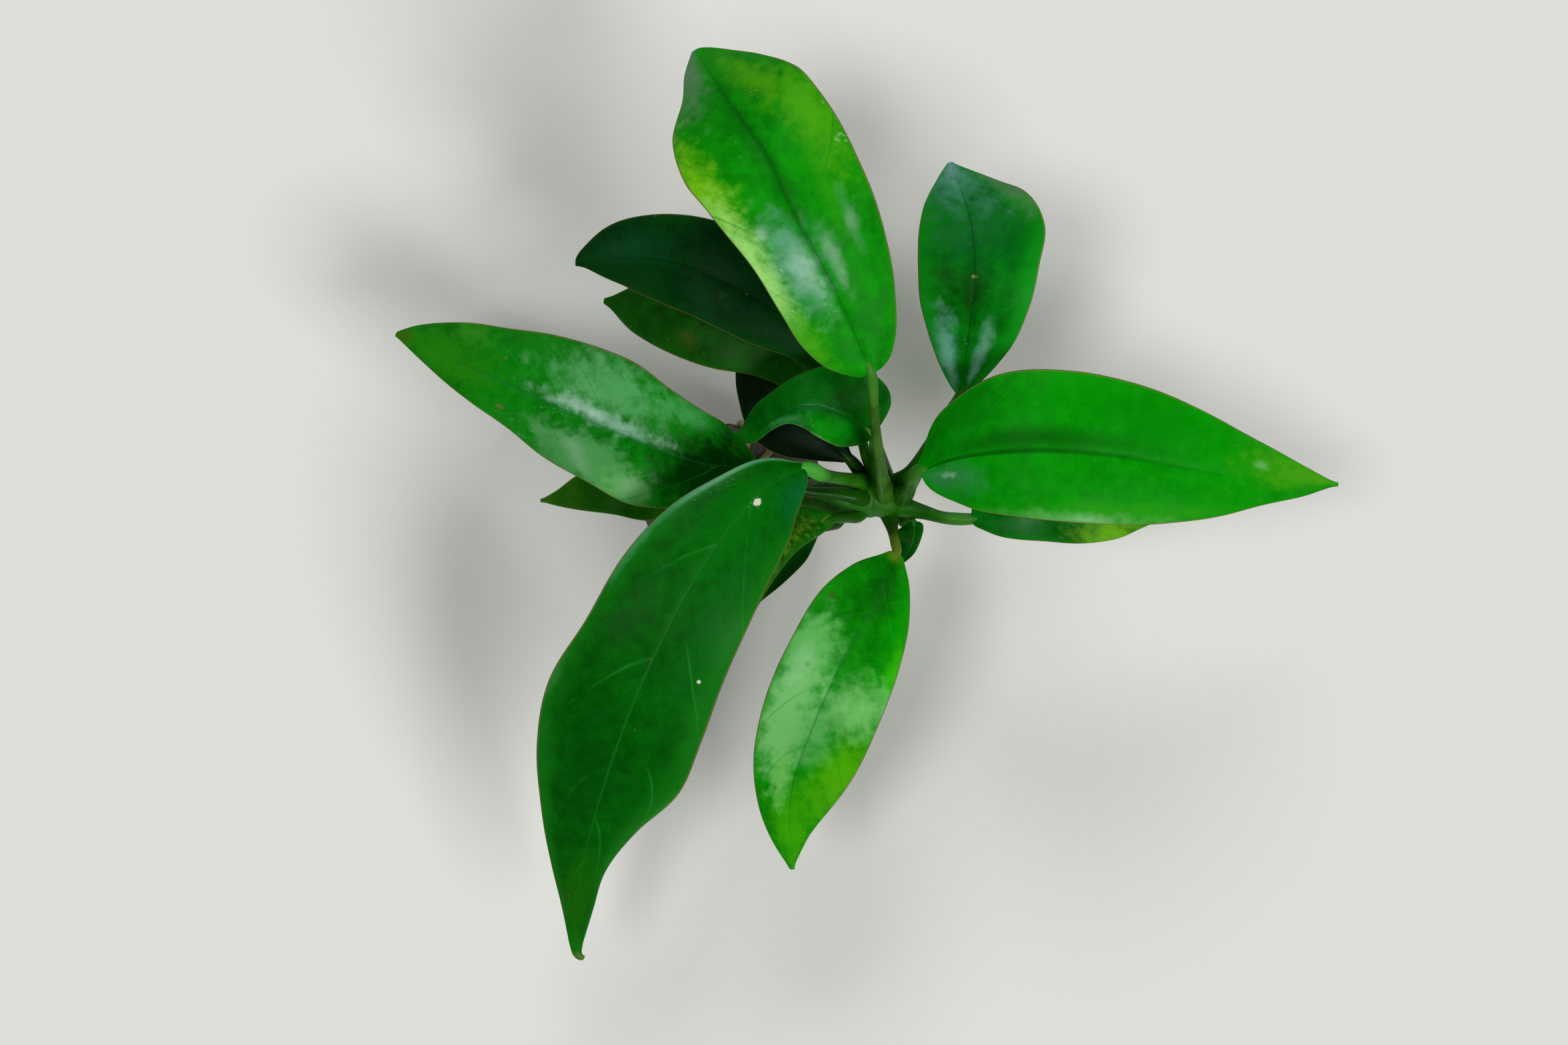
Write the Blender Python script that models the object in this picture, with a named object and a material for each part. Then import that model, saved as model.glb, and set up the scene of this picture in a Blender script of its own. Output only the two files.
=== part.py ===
"""Anubias growing on a small stone: a creeping stem tied down by its roots, and fifteen leaves on stalks.

Lengths in the tables are millimetres, turned to metres by MM. The origin is the middle of the stone's
flat underside, +Z is up, and the growing end of the stem points along +X.
"""

import math

import bmesh
import bpy
from mathutils import Vector
from mathutils.bvhtree import BVHTree

MM = 0.001

STONE_MIDDLE_HEIGHT = 11.0
STONE_SUBDIVISIONS = 3
# The stone's worn flats: bearing and elevation of each flat's outward direction, and its distance from
# the middle.
STONE_FLATS = [
    (170, 86, 12.35), (8, 10, 17.0), (52, 24, 16.2), (97, 4, 14.4), (148, 20, 17.0), (192, -6, 18.4),
    (238, 16, 16.2), (287, 8, 14.6), (328, 26, 16.4), (25, 50, 16.6), (120, 52, 15.0), (205, 46, 17.4),
    (300, 50, 15.2), (75, -30, 15.4), (250, -34, 15.8), (340, -28, 16.8), (160, -30, 17.2),
]
STONE_CRISPNESS = 11

STEM_PATH = [
    (-16, 1.5, 25.6), (-7, 2.2, 26.6), (3, 1.2, 27.4), (13, 0.4, 28.6), (22, 0, 30.2), (31, -0.4, 31.0),
]
STEM_RADII = [2.6, 3.3, 3.5, 3.5, 3.4, 2.2]
STEM_POINTS = 13

BLADE_THICKNESS = 0.7
BLADE_ROWS = 13
BLADE_COLUMNS = 6
BLADE_BASE_HALF_WIDTH = 0.9
BLADE_TIP_HALF_WIDTH = 0.3
STALK_POINTS = 8
ROOT_POINTS = 11
ROOT_CLEARANCE = 0.8

# Each blade has its midrib from base to tip, and its width left and right of it at a row of stations.
# The stations bunch towards both ends. left is the left hand of someone who walks from base to tip.
# fold lifts both halves, droop lowers their margins, roll tips the left half up (at the base, at the tip),
# and wave is the margin's ripple: its height, its number of crests and where they start.
BLADES = {
    "top": {
        "midrib": [(25, 22, 76), (19, 35, 82), (12, 48, 86),
                   (6, 60.5, 84), (-0.5, 70.5, 77), (-7, 81.5, 64)],
        "left": [3.7, 7.4, 9.7, 10.4, 11.0, 13.4, 14.4, 13.0, 8.1, 5.4, 2.9],
        "right": [4.1, 6.9, 9.4, 12.1, 14.1, 14.5, 14.4, 13.6, 9.8, 5.4, 2.3],
        "fold": 0.10, "droop": 0.22, "roll": (0.10, -0.10), "wave": (0.7, 3, 0.4),
    },
    "upper_right": {
        "midrib": [(42.5, 19.5, 46), (43.5, 30.5, 54), (44.5, 40, 58),
                   (44, 49.5, 56), (42.5, 56.5, 51), (40.5, 63, 44)],
        "left": [1.8, 3.4, 5.4, 7.6, 9.9, 10.5, 10.1, 8.7, 6.2, 3.4, 1.3],
        "right": [2.1, 3.8, 6.3, 8.9, 10.3, 11.8, 13.6, 11.4, 6.1, 2.7, 0.8],
        "fold": 0.12, "droop": 0.20, "roll": (0.0, 0.05), "wave": (0.4, 3, 1.0),
    },
    "right": {
        "midrib": [(34.5, 5, 52), (43, 7.5, 58), (56, 8.5, 62),
                   (71, 7.5, 60), (92.5, 4, 52), (114, 2.5, 40)],
        "left": [3.3, 9.4, 14.3, 14.8, 13.3, 10.4, 6.7, 3.1, 0.8],
        "right": [5.3, 9.2, 11.8, 13.0, 12.3, 9.1, 5.1, 2.8, 0.8],
        "fold": 0.12, "droop": 0.20, "roll": (-0.05, -0.05), "wave": (0.4, 3, 2.0),
    },
    "right_lower": {
        "midrib": [(45, -4, 37), (54, -2.5, 41), (64, -1.5, 42), (74, -2, 39), (83.5, -3, 34)],
        "left": [3.2, 5.3, 6.6, 6.6, 5.3, 3.0, 0.9],
        "right": [2.3, 4.6, 6.1, 7.2, 6.1, 3.1, 0.9],
        "fold": 0.10, "droop": 0.20, "roll": (0.0, 0.0), "wave": (0.3, 2, 0.0),
    },
    "bottom": {
        "midrib": [(30.5, -10.5, 42), (27, -17.5, 47), (21, -29, 51),
                   (15, -42, 49), (10.5, -56.5, 41), (11, -71, 32)],
        "left": [2.5, 5.5, 8.7, 10.6, 11.2, 10.4, 7.8, 3.2, 0.7],
        "right": [2.6, 6.6, 9.7, 10.5, 10.3, 8.8, 5.9, 3.4, 1.3],
        "fold": 0.16, "droop": 0.20, "roll": (0.0, 0.0), "wave": (0.4, 2, 0.6),
    },
    "young": {
        "midrib": [(34, -4.6, 33), (34.2, -6.5, 35), (33.5, -9.5, 35), (31.6, -12.5, 33)],
        "left": [1.3, 1.7, 1.5, 1.2, 1.0, 0.7, 0.4],
        "right": [1.6, 2.5, 2.9, 2.8, 2.3, 1.6, 0.6],
        "fold": 0.25, "droop": 0.10, "roll": (0.0, 0.0), "wave": (0.0, 1, 0.0),
    },
    "lower_left": {
        "midrib": [(13, 5.5, 54), (4.5, 0.5, 58), (-4.5, -11, 62), (-13, -26, 62), (-21, -44.5, 55),
                   (-27.5, -64.5, 42), (-30.5, -81.5, 31), (-29.5, -89, 27)],
        "left": [3.6, 7.4, 10.0, 11.6, 12.9, 13.6, 14.3, 13.7, 8.2, 4.3, 3.1, 2.0, 0.7],
        "right": [2.1, 4.7, 7.4, 11.2, 13.5, 14.2, 16.2, 14.3, 10.3, 6.3, 3.2, 1.4, 1.0],
        "fold": 0.08, "droop": 0.26, "roll": (-0.05, -0.05), "wave": (0.5, 3, 1.2),
    },
    "left": {
        "midrib": [(4.5, 5.5, 42), (-6.5, 6.5, 47), (-18, 10.5, 51),
                   (-31, 16, 51), (-47.5, 23.5, 46), (-64.5, 31, 36)],
        "left": [1.6, 3.4, 6.4, 9.6, 11.6, 10.6, 9.7, 7.5, 6.1, 4.5, 2.8, 1.4, 0.5],
        "right": [2.0, 5.4, 8.4, 9.7, 11.2, 13.3, 13.2, 11.9, 9.6, 7.8, 5.6, 3.4, 1.4],
        "fold": 0.14, "droop": 0.22, "roll": (0.05, 0.05), "wave": (0.6, 3, 0.0),
    },
    "left_lower": {
        "midrib": [(-8, 1.5, 33), (-15.5, 1, 35), (-23, 0.5, 35.5), (-30.5, 0, 33), (-37.5, -0.5, 28)],
        "left": [2.2, 4.4, 5.2, 3.6, 2.5, 1.4, 0.5],
        "right": [2.6, 5.0, 6.4, 6.2, 4.5, 1.9, 0.6],
        "fold": 0.10, "droop": 0.20, "roll": (0.0, 0.0), "wave": (0.3, 2, 0.0),
    },
    "upper_left": {
        "midrib": [(20, 21, 50), (12.5, 30.5, 55), (2.5, 37.5, 58),
                   (-8.5, 42.5, 57), (-18.5, 44.5, 51), (-30, 44, 42)],
        "left": [1.8, 4.3, 7.5, 8.3, 7.3, 4.2, 1.0],
        "right": [2.5, 5.6, 8.6, 9.9, 8.7, 6.6, 3.1],
        "fold": 0.10, "droop": 0.20, "roll": (0.0, 0.0), "wave": (0.3, 2, 0.5),
    },
    "upper_left_lower": {
        "midrib": [(19.5, 15.5, 43), (11.5, 24.5, 46), (2.5, 30.5, 48), (-11, 35, 44), (-25, 37.5, 35)],
        "left": [1.6, 3.4, 5.9, 8.4, 7.8, 5.3, 1.5],
        "right": [2.0, 4.5, 7.3, 8.6, 7.6, 4.3, 1.3],
        "fold": 0.10, "droop": 0.20, "roll": (0.0, 0.0), "wave": (0.3, 2, 2.0),
    },
    "centre": {
        "midrib": [(26, 11.5, 52), (21, 15, 57), (14, 17, 59), (7.5, 15, 55), (0.5, 11.5, 48)],
        "left": [2.1, 4.0, 5.6, 6.0, 5.7, 4.6, 2.3, 2.2, 2.6, 2.6, 1.6],
        "right": [5.2, 7.2, 8.6, 9.1, 8.2, 5.6, 4.4, 3.6, 2.3, 1.1, 0.5],
        "fold": 0.20, "droop": 0.20, "roll": (0.0, 0.0), "wave": (0.4, 3, 0.0),
    },
    "centre_under": {
        "midrib": [(21.5, 7.5, 38), (15.5, 12.5, 40), (9, 17, 41), (4, 22.5, 39), (0.5, 29, 34)],
        "left": [2.0, 4.5, 7.2, 8.0, 5.0, 2.4, 1.1],
        "right": [1.6, 4.0, 6.6, 7.4, 6.6, 4.6, 1.8],
        "fold": 0.10, "droop": 0.20, "roll": (0.0, 0.0), "wave": (0.2, 2, 0.0),
    },
    "spotted": {
        "midrib": [(18.5, -4, 40), (11.5, -6, 44), (5, -12, 46), (-1.5, -21, 43), (-6.5, -30, 37)],
        "left": [1.8, 3.2, 3.6, 4.2, 4.7, 3.3, 0.9],
        "right": [1.8, 3.4, 4.6, 5.4, 5.4, 3.8, 1.4],
        "fold": 0.10, "droop": 0.25, "roll": (0.0, 0.0), "wave": (0.3, 2, 0.0),
    },
    "under_spotted": {
        "midrib": [(15, -6, 34), (9, -10.5, 37), (2, -18, 38), (-4, -25.5, 35), (-9.5, -33.5, 30)],
        "left": [2.3, 4.1, 4.2, 3.1, 3.2, 2.6, 0.7],
        "right": [1.8, 3.6, 5.2, 5.6, 5.2, 3.7, 1.0],
        "fold": 0.10, "droop": 0.20, "roll": (0.0, 0.0), "wave": (0.2, 2, 0.0),
    },
}

# Each stalk runs from the stem to its blade, with its radius at the stem, halfway and at the blade.
STALKS = {
    "top": {"path": [(28.6, 0.9, 34.8), (27.8, 3.4, 44), (26.8, 8, 56), (25.6, 15, 68), (25, 21.3, 75.8)],
            "radii": (1.5, 1.0, 0.9)},
    "upper_right": {"path": [(30.6, 2.9, 32.6), (33.5, 5.2, 37), (37, 10.5, 41.5),
                             (40.5, 16, 44), (42.3, 18.8, 45.4)],
                    "radii": (1.3, 1.0, 0.9)},
    "right": {"path": [(31.8, 0.4, 34.2), (32.6, 1.2, 40), (33.2, 2.8, 46), (33.9, 4.4, 51)],
              "radii": (1.4, 1.2, 1.0)},
    "right_lower": {"path": [(32.6, -1.8, 31.6), (36, -2.7, 33), (40, -3.8, 35), (44.3, -4.1, 36.8)],
                    "radii": (1.5, 1.0, 0.9)},
    "bottom": {"path": [(29.5, -3.7, 31.5), (30, -6.2, 35), (30.4, -8.8, 39.4), (30.6, -10.0, 41.4)],
               "radii": (1.3, 0.8, 0.7)},
    "young": {"path": [(32.2, -4.4, 28.8), (33.3, -4.8, 30.7), (33.8, -4.7, 32.3)],
              "radii": (0.8, 0.7, 0.6)},
    "lower_left": {"path": [(24.4, 2.9, 33.8), (22.4, 3.3, 39.5), (19, 3.7, 46),
                            (16.4, 4.2, 50), (14.1, 5.2, 53)],
                   "radii": (1.3, 1.1, 1.3)},
    "left": {"path": [(22.6, 0.3, 35.3), (19, 0.8, 36.6), (14, 1.1, 38.2),
                      (8.5, 3, 40.4), (5.3, 5.1, 41.7)],
             "radii": (1.2, 0.9, 0.9)},
    "centre": {"path": [(27.2, 3.4, 33.4), (26.6, 6.2, 41), (26.2, 9.4, 48.5), (26.1, 11.0, 51.3)],
               "radii": (1.2, 0.9, 0.8)},
    "centre_under": {"path": [(24.0, 4.0, 31.0), (23.2, 5.6, 34), (21.9, 7.1, 37.4)],
                     "radii": (1.1, 0.9, 0.8)},
    "upper_left": {"path": [(28.9, 3.9, 30.4), (27.6, 8, 36.5), (25.5, 13.5, 43),
                            (22.8, 17.8, 47.6), (20.3, 20.7, 49.8)],
                   "radii": (1.1, 0.9, 0.8)},
    "upper_left_lower": {"path": [(26.5, 4.2, 30.3), (25, 7.6, 35.5),
                                  (23.6, 11.4, 39.8), (19.9, 15.2, 42.9)],
                         "radii": (1.1, 0.9, 0.8)},
    "spotted": {"path": [(23.4, -3.5, 33.2), (21.2, -3.7, 36.2), (18.9, -3.9, 39.4)],
                "radii": (1.0, 0.8, 0.7)},
    "under_spotted": {"path": [(19.6, -4.5, 28.6), (17.8, -5.2, 31.2), (15.5, -5.7, 33.6)],
                      "radii": (1.0, 0.8, 0.7)},
    "left_lower": {"path": [(1.0, 2.2, 32.0), (-3.5, 2.2, 33.6), (-7.3, 1.7, 33.2)],
                   "radii": (0.9, 0.8, 0.7)},
}

# Each root leaves the stem at start, meets the stone at a bearing (degrees from +X) and an elevation seen
# from the stone's middle, and runs down the stone to its last elevation, swaying to the side on the way.
ROOTS = {
    "1": {"start": (14, 4.5, 25.6), "bearing": (48, 62), "elevation": (58, -24), "radius": 0.75},
    "2": {"start": (4, 5.4, 24.6), "bearing": (84, 80), "elevation": (62, -30), "radius": 0.8},
    "3": {"start": (-6, 6.2, 24.0), "bearing": (128, 118), "elevation": (62, -26), "radius": 0.7},
    "4": {"start": (-16.4, 3.6, 22.4), "bearing": (166, 150), "elevation": (38, -28), "radius": 0.75},
    "5": {"start": (-16.2, -1.2, 22.2), "bearing": (186, 184), "elevation": (38, -22), "radius": 0.65},
    "6": {"start": (-5, -1.8, 24.2), "bearing": (232, 238), "elevation": (62, -30), "radius": 0.8},
    "7": {"start": (4, -2.8, 25.2), "bearing": (276, 266), "elevation": (60, -26), "radius": 0.7},
    "8": {"start": (13, -3.6, 26.4), "bearing": (312, 300), "elevation": (56, -28), "radius": 0.75},
    "9": {"start": (20.5, -0.4, 25.6), "bearing": (352, 346), "elevation": (24, -24), "radius": 0.7},
}
ROOT_SWAY_DEGREES = 5

MATERIALS = {
    "leaf_top": ((0.030, 0.230, 0.012), 0.30),
    "leaf_mid": ((0.012, 0.130, 0.010), 0.32),
    "leaf_under": ((0.008, 0.060, 0.008), 0.40),
    "stalk": ((0.130, 0.290, 0.060), 0.40),
    "stem": ((0.090, 0.150, 0.040), 0.55),
    "root": ((0.300, 0.240, 0.130), 0.70),
    "stone": ((0.120, 0.110, 0.100), 0.85),
}
UNDER_LEAVES = {"upper_left", "upper_left_lower", "centre_under", "under_spotted", "left_lower"}
TOP_LEAVES = {"top", "right", "right_lower", "bottom"}


def smooth_point(points, t):
    """The point at t (0 to 1) on a smooth curve through the points, which may be numbers or vectors."""
    place = min(max(t, 0.0), 1.0) * (len(points) - 1)
    index = min(int(place), len(points) - 2)
    s = place - index
    before = points[index - 1] if index > 0 else points[0] * 2 - points[1]
    after = points[index + 2] if index + 2 < len(points) else points[-1] * 2 - points[-2]
    start, end = points[index], points[index + 1]
    start_slope = (end - before) / 2
    end_slope = (after - start) / 2
    return (start * (2 * s**3 - 3 * s**2 + 1) + start_slope * (s**3 - 2 * s**2 + s)
            + end * (3 * s**2 - 2 * s**3) + end_slope * (s**3 - s**2))


def vectors(points):
    return [Vector(point) * MM for point in points]


def even_points(points, count):
    """count points at even distances along the smooth curve through points."""
    fine = [smooth_point(points, i / 200) for i in range(201)]
    lengths = [0.0]
    for a, b in zip(fine[:-1], fine[1:]):
        lengths.append(lengths[-1] + (b - a).length)
    result = []
    for i in range(count):
        target = lengths[-1] * i / (count - 1)
        k = min(sum(1 for length in lengths if length < target), 200)
        k = max(k, 1)
        part = (target - lengths[k - 1]) / (lengths[k] - lengths[k - 1])
        result.append(fine[k - 1].lerp(fine[k], part))
    return result


def blade_point(blade, midrib, along, across):
    """A point of the blade: along runs 0 to 1 from base to tip, across runs -1 (right) to 1 (left)."""
    angle = math.acos(1 - 2 * along)
    step = 0.004
    centre = curve_at(midrib, along)
    ahead = curve_at(midrib, min(along + step, 1)) - curve_at(midrib, max(along - step, 0))
    side = Vector((-ahead.y, ahead.x, 0)).normalized()
    widths = blade["left"] if across > 0 else blade["right"]
    stations = [BLADE_BASE_HALF_WIDTH] + widths + [BLADE_TIP_HALF_WIDTH]
    width = smooth_point(stations, angle / math.pi) * MM
    reach = abs(across)
    roll = blade["roll"][0] + (blade["roll"][1] - blade["roll"][0]) * along
    height, crests, phase = blade["wave"]
    ripple = height * MM * reach**2 * math.sin(2 * math.pi * crests * along + phase + across)
    ripple *= math.sin(math.pi * along)
    rise = width * (blade["fold"] * reach - blade["droop"] * reach**2 + roll * across) + ripple
    return centre + side * width * across + Vector((0, 0, rise))


def curve_at(points, along):
    """The point at a share of the curve's length, from points already spaced evenly."""
    place = along * (len(points) - 1)
    index = min(int(place), len(points) - 2)
    return points[index].lerp(points[index + 1], place - index)


def material_for(name):
    colour, roughness = MATERIALS[name]
    material = bpy.data.materials.new(name)
    material.use_nodes = True
    shader = material.node_tree.nodes["Principled BSDF"]
    shader.inputs["Base Color"].default_value = (*colour, 1)
    shader.inputs["Roughness"].default_value = roughness
    shader.inputs["Metallic"].default_value = 0
    return material


def add_object(name, data, look):
    obj = bpy.data.objects.new(name, data)
    bpy.context.scene.collection.objects.link(obj)
    material = material_for(look)
    material.name = name
    data.materials.append(material)
    return obj


def make_blade(name, blade):
    midrib = even_points(vectors(blade["midrib"]), 61)
    shape = bmesh.new()
    bmesh.ops.create_grid(shape, x_segments=BLADE_ROWS, y_segments=BLADE_COLUMNS, size=1)
    for vertex in shape.verts:
        along = (1 - math.cos(math.pi * (vertex.co.x + 1) / 2)) / 2
        vertex.co = blade_point(blade, midrib, along, vertex.co.y)
    mesh = bpy.data.meshes.new("leaf_" + name)
    shape.to_mesh(mesh)
    shape.free()
    mesh.shade_smooth()
    look = "leaf_under" if name in UNDER_LEAVES else "leaf_top" if name in TOP_LEAVES else "leaf_mid"
    leaf = add_object("leaf_" + name, mesh, look)
    wall = leaf.modifiers.new("Solidify", "SOLIDIFY")
    wall.thickness = BLADE_THICKNESS * MM
    wall.offset = 0
    return leaf


def make_tube(name, points, radii, look, bevel_resolution):
    """A tube through points with a radius at each of them, closed at both ends."""
    curve = bpy.data.curves.new(name, "CURVE")
    curve.dimensions = "3D"
    curve.bevel_depth = MM
    curve.bevel_resolution = bevel_resolution
    curve.use_fill_caps = True
    spline = curve.splines.new("POLY")
    spline.points.add(len(points) - 1)
    for target, point, radius in zip(spline.points, points, radii):
        target.co = (*point, 1)
        target.radius = radius
    return add_object(name, curve, look)


def make_stalk(name, stalk):
    points = even_points(vectors(stalk["path"]), STALK_POINTS)
    radii = [smooth_point(list(stalk["radii"]), i / (STALK_POINTS - 1)) for i in range(STALK_POINTS)]
    return make_tube("stalk_" + name, points, radii, "stalk", 1)


def make_stem():
    points = even_points(vectors(STEM_PATH), STEM_POINTS)
    radii = [smooth_point(STEM_RADII, i / (STEM_POINTS - 1)) for i in range(STEM_POINTS)]
    return make_tube("rhizome", points, radii, "stem", 2)


def direction(bearing, elevation):
    """The unit vector at a bearing from +X and an elevation above level, both in degrees."""
    bearing, elevation = math.radians(bearing), math.radians(elevation)
    level = math.cos(elevation)
    return Vector((math.cos(bearing) * level, math.sin(bearing) * level, math.sin(elevation)))


def stone_reach(outward):
    """How far the stone reaches from its middle: flats meet in rounded edges, with broad bumps on top."""
    total = 0.0
    for bearing, elevation, distance in STONE_FLATS:
        facing = max(outward.dot(direction(bearing, elevation)), 0.0)
        total += (facing / distance) ** STONE_CRISPNESS
    x, y, z = outward
    bumps = 0.020 * math.sin(5.1 * x + 2.3 * y + 0.4) + 0.015 * math.sin(6.7 * y - 4.1 * z + 1.3)
    return total ** (-1 / STONE_CRISPNESS) * (1 + bumps)


def stone_shape():
    """A weathered stone, cut level underneath."""
    shape = bmesh.new()
    bmesh.ops.create_icosphere(shape, subdivisions=STONE_SUBDIVISIONS, radius=1)
    for vertex in shape.verts:
        outward = vertex.co.normalized()
        vertex.co = outward * stone_reach(outward) * MM
        vertex.co.z += STONE_MIDDLE_HEIGHT * MM
    everything = shape.verts[:] + shape.edges[:] + shape.faces[:]
    bmesh.ops.bisect_plane(shape, geom=everything, plane_co=(0, 0, 0), plane_no=(0, 0, 1), clear_inner=True)
    rim = [edge for edge in shape.edges if edge.is_boundary]
    bmesh.ops.contextual_create(shape, geom=rim)
    bmesh.ops.recalc_face_normals(shape, faces=shape.faces[:])
    return shape


def make_stone(shape):
    mesh = bpy.data.meshes.new("stone")
    shape.to_mesh(mesh)
    mesh.shade_smooth()
    return add_object("stone", mesh, "stone")


def root_points(root, stone_tree):
    """The root's course: from the stem down onto the stone, then along its surface."""
    middle = Vector((0, 0, STONE_MIDDLE_HEIGHT * MM))
    clear = (root["radius"] + ROOT_CLEARANCE) * MM
    course = [Vector(root["start"]) * MM]
    steps = 9
    for i in range(steps):
        part = i / (steps - 1)
        bearing = root["bearing"][0] + (root["bearing"][1] - root["bearing"][0]) * part
        bearing += ROOT_SWAY_DEGREES * math.sin(math.pi * 2.2 * part + root["start"][0])
        elevation = root["elevation"][0] + (root["elevation"][1] - root["elevation"][0]) * part
        outward = direction(bearing, elevation)
        hit, normal, _, _ = stone_tree.ray_cast(middle + outward * 60 * MM, -outward)
        place = hit + normal * clear
        place.z = max(place.z, clear)
        course.append(place)
    return even_points(course, ROOT_POINTS)


def make_root(name, root, stone_tree):
    points = root_points(root, stone_tree)
    radii = [root["radius"] * (1 - 0.55 * (i / (ROOT_POINTS - 1)) ** 2) for i in range(ROOT_POINTS)]
    return make_tube("root_" + name, points, radii, "root", 1)


def main():
    for obj in list(bpy.data.objects):
        bpy.data.objects.remove(obj, do_unlink=True)
    shape = stone_shape()
    stone_tree = BVHTree.FromBMesh(shape)
    make_stone(shape)
    make_stem()
    for name, root in ROOTS.items():
        make_root(name, root, stone_tree)
    for name, stalk in STALKS.items():
        make_stalk(name, stalk)
    for name, blade in BLADES.items():
        make_blade(name, blade)
    shape.free()


main()
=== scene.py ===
import math
import bmesh
import bpy
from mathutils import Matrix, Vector, noise
from mathutils.bvhtree import BVHTree


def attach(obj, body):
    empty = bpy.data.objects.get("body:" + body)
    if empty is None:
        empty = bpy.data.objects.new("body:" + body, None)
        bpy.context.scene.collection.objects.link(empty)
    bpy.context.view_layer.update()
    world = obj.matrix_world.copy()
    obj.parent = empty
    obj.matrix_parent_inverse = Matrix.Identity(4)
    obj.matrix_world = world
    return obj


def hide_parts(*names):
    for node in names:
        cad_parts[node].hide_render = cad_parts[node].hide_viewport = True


# Anubias on a small stone. Lengths in the dictionaries are millimetres, as in the CAD part; mm turns them to
# metres. The frame's origin is the middle of the stone's underside, +Z is up, and the stem grows along +X.

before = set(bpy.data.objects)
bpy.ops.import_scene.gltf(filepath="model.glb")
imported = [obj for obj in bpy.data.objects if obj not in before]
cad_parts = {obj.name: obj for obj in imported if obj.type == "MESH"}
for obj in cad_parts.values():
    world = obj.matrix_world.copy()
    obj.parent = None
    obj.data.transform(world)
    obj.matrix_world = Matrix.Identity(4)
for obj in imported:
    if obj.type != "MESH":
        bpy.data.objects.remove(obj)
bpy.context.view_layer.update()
mm = 0.001
print("frame loaded:", len(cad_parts), "nodes")


def toLinear(hexColour):
    shares = [int(hexColour[i:i + 2], 16) / 255 for i in (1, 3, 5)]
    linear = [share / 12.92 if share <= 0.04045 else ((share + 0.055) / 1.055) ** 2.4 for share in shares]
    return linear + [1.0]


def fillInputs(tree, node, values):
    for name, value in values.items():
        if isinstance(value, bpy.types.NodeSocket):
            tree.links.new(value, node.inputs[name])
        else:
            node.inputs[name].default_value = value


def addNode(tree, kind, settings, values, output=0):
    node = tree.nodes.new("ShaderNode" + kind)
    for name, value in settings.items():
        setattr(node, name, value)
    fillInputs(tree, node, values)
    return node.outputs[output]


# Settings that many nodes share. timesPlus is input 0 times input 1, plus input 2.
smooth = {"interpolation_type": "SMOOTHSTEP"}
plus, times, timesPlus = {"operation": "ADD"}, {"operation": "MULTIPLY"}, {"operation": "MULTIPLY_ADD"}
above, pingPong = {"operation": "GREATER_THAN"}, {"operation": "PINGPONG"}


def span(value, low, high, most=1.0, least=0.0):
    return {"Value": value, "From Min": low, "From Max": high, "To Min": least, "To Max": most}


def grains(place, size, detail, rough=0.5):
    return {"Vector": place, "Scale": 1000 / size, "Detail": detail, "Roughness": rough}  # size is in mm


def newMaterial(name):
    material = bpy.data.materials.new(name)
    material.use_nodes = True
    return material, material.node_tree, material.node_tree.nodes["Principled BSDF"]


def findPlaces(tree):
    place = addNode(tree, "TexCoord", {}, {}, 3)  # output 3 is in the piece's own metres
    uv = addNode(tree, "UVMap", {"uv_map": "surface"}, {})
    return place, uv, addNode(tree, "SeparateXYZ", {}, {"Vector": uv})


def paint(tree, shader, base, layers, pattern, roughness, relief, values):
    # layers: masks, each with the colour it lays over what is below. roughness: its values where the pattern
    # is low and high. relief: a height pattern, with the bump's strength and its depth in mm.
    colour = toLinear(base)
    for mask, cover in layers:
        colour = addNode(tree, "Mix", {"data_type": "RGBA"}, {0: mask, 6: colour, 7: toLinear(cover)}, 2)
    dullness = addNode(tree, "MapRange", {}, span(pattern, 0.3, 0.7, roughness[1], roughness[0]))
    height, strength, depth = relief
    normal = addNode(tree, "Bump", {}, {"Height": height, "Strength": strength, "Distance": depth * mm})
    fillInputs(tree, shader, {"Base Color": colour, "Roughness": dullness, "Normal": normal, "IOR": 1.45,
                              **values})


def smoothPoint(points, t):
    # A smooth curve through evenly spaced points; t runs from 0 to 1.
    place = min(max(t, 0.0), 1.0) * (len(points) - 1)
    index = min(int(place), len(points) - 2)
    s = place - index
    before = points[index - 1] if index > 0 else points[0] * 2 - points[1]
    after = points[index + 2] if index + 2 < len(points) else points[-1] * 2 - points[-2]
    start, end = points[index], points[index + 1]
    return (start * (2 * s**3 - 3 * s**2 + 1) + (end - before) / 2 * (s**3 - 2 * s**2 + s)
            + end * (3 * s**2 - 2 * s**3) + (after - start) / 2 * (s**3 - s**2))


def toPoints(course):
    return [Vector(point) * mm for point in course]


def pathLength(points):
    return sum((b - a).length for a, b in zip(points[:-1], points[1:]))


def evenPoints(points, count, steps=300):
    fine = [smoothPoint(points, i / steps) for i in range(steps + 1)]
    lengths = [0.0]
    for a, b in zip(fine[:-1], fine[1:]):
        lengths.append(lengths[-1] + (b - a).length)
    result, k = [], 1
    for i in range(count):
        target = lengths[-1] * i / (count - 1)
        while k < steps and lengths[k] < target:
            k += 1
        part = (target - lengths[k - 1]) / (lengths[k] - lengths[k - 1])
        result.append(fine[k - 1].lerp(fine[k], part))
    return result


def curveAt(points, along):
    place = along * (len(points) - 1)
    index = min(int(place), len(points) - 2)
    return points[index].lerp(points[index + 1], place - index)


def between(ends, part):
    return ends[0] + (ends[1] - ends[0]) * part


def clamped(value, low, high):
    return int(min(max(value, low), high))


def ease(share):
    return (1 - math.cos(math.pi * share)) / 2


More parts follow.
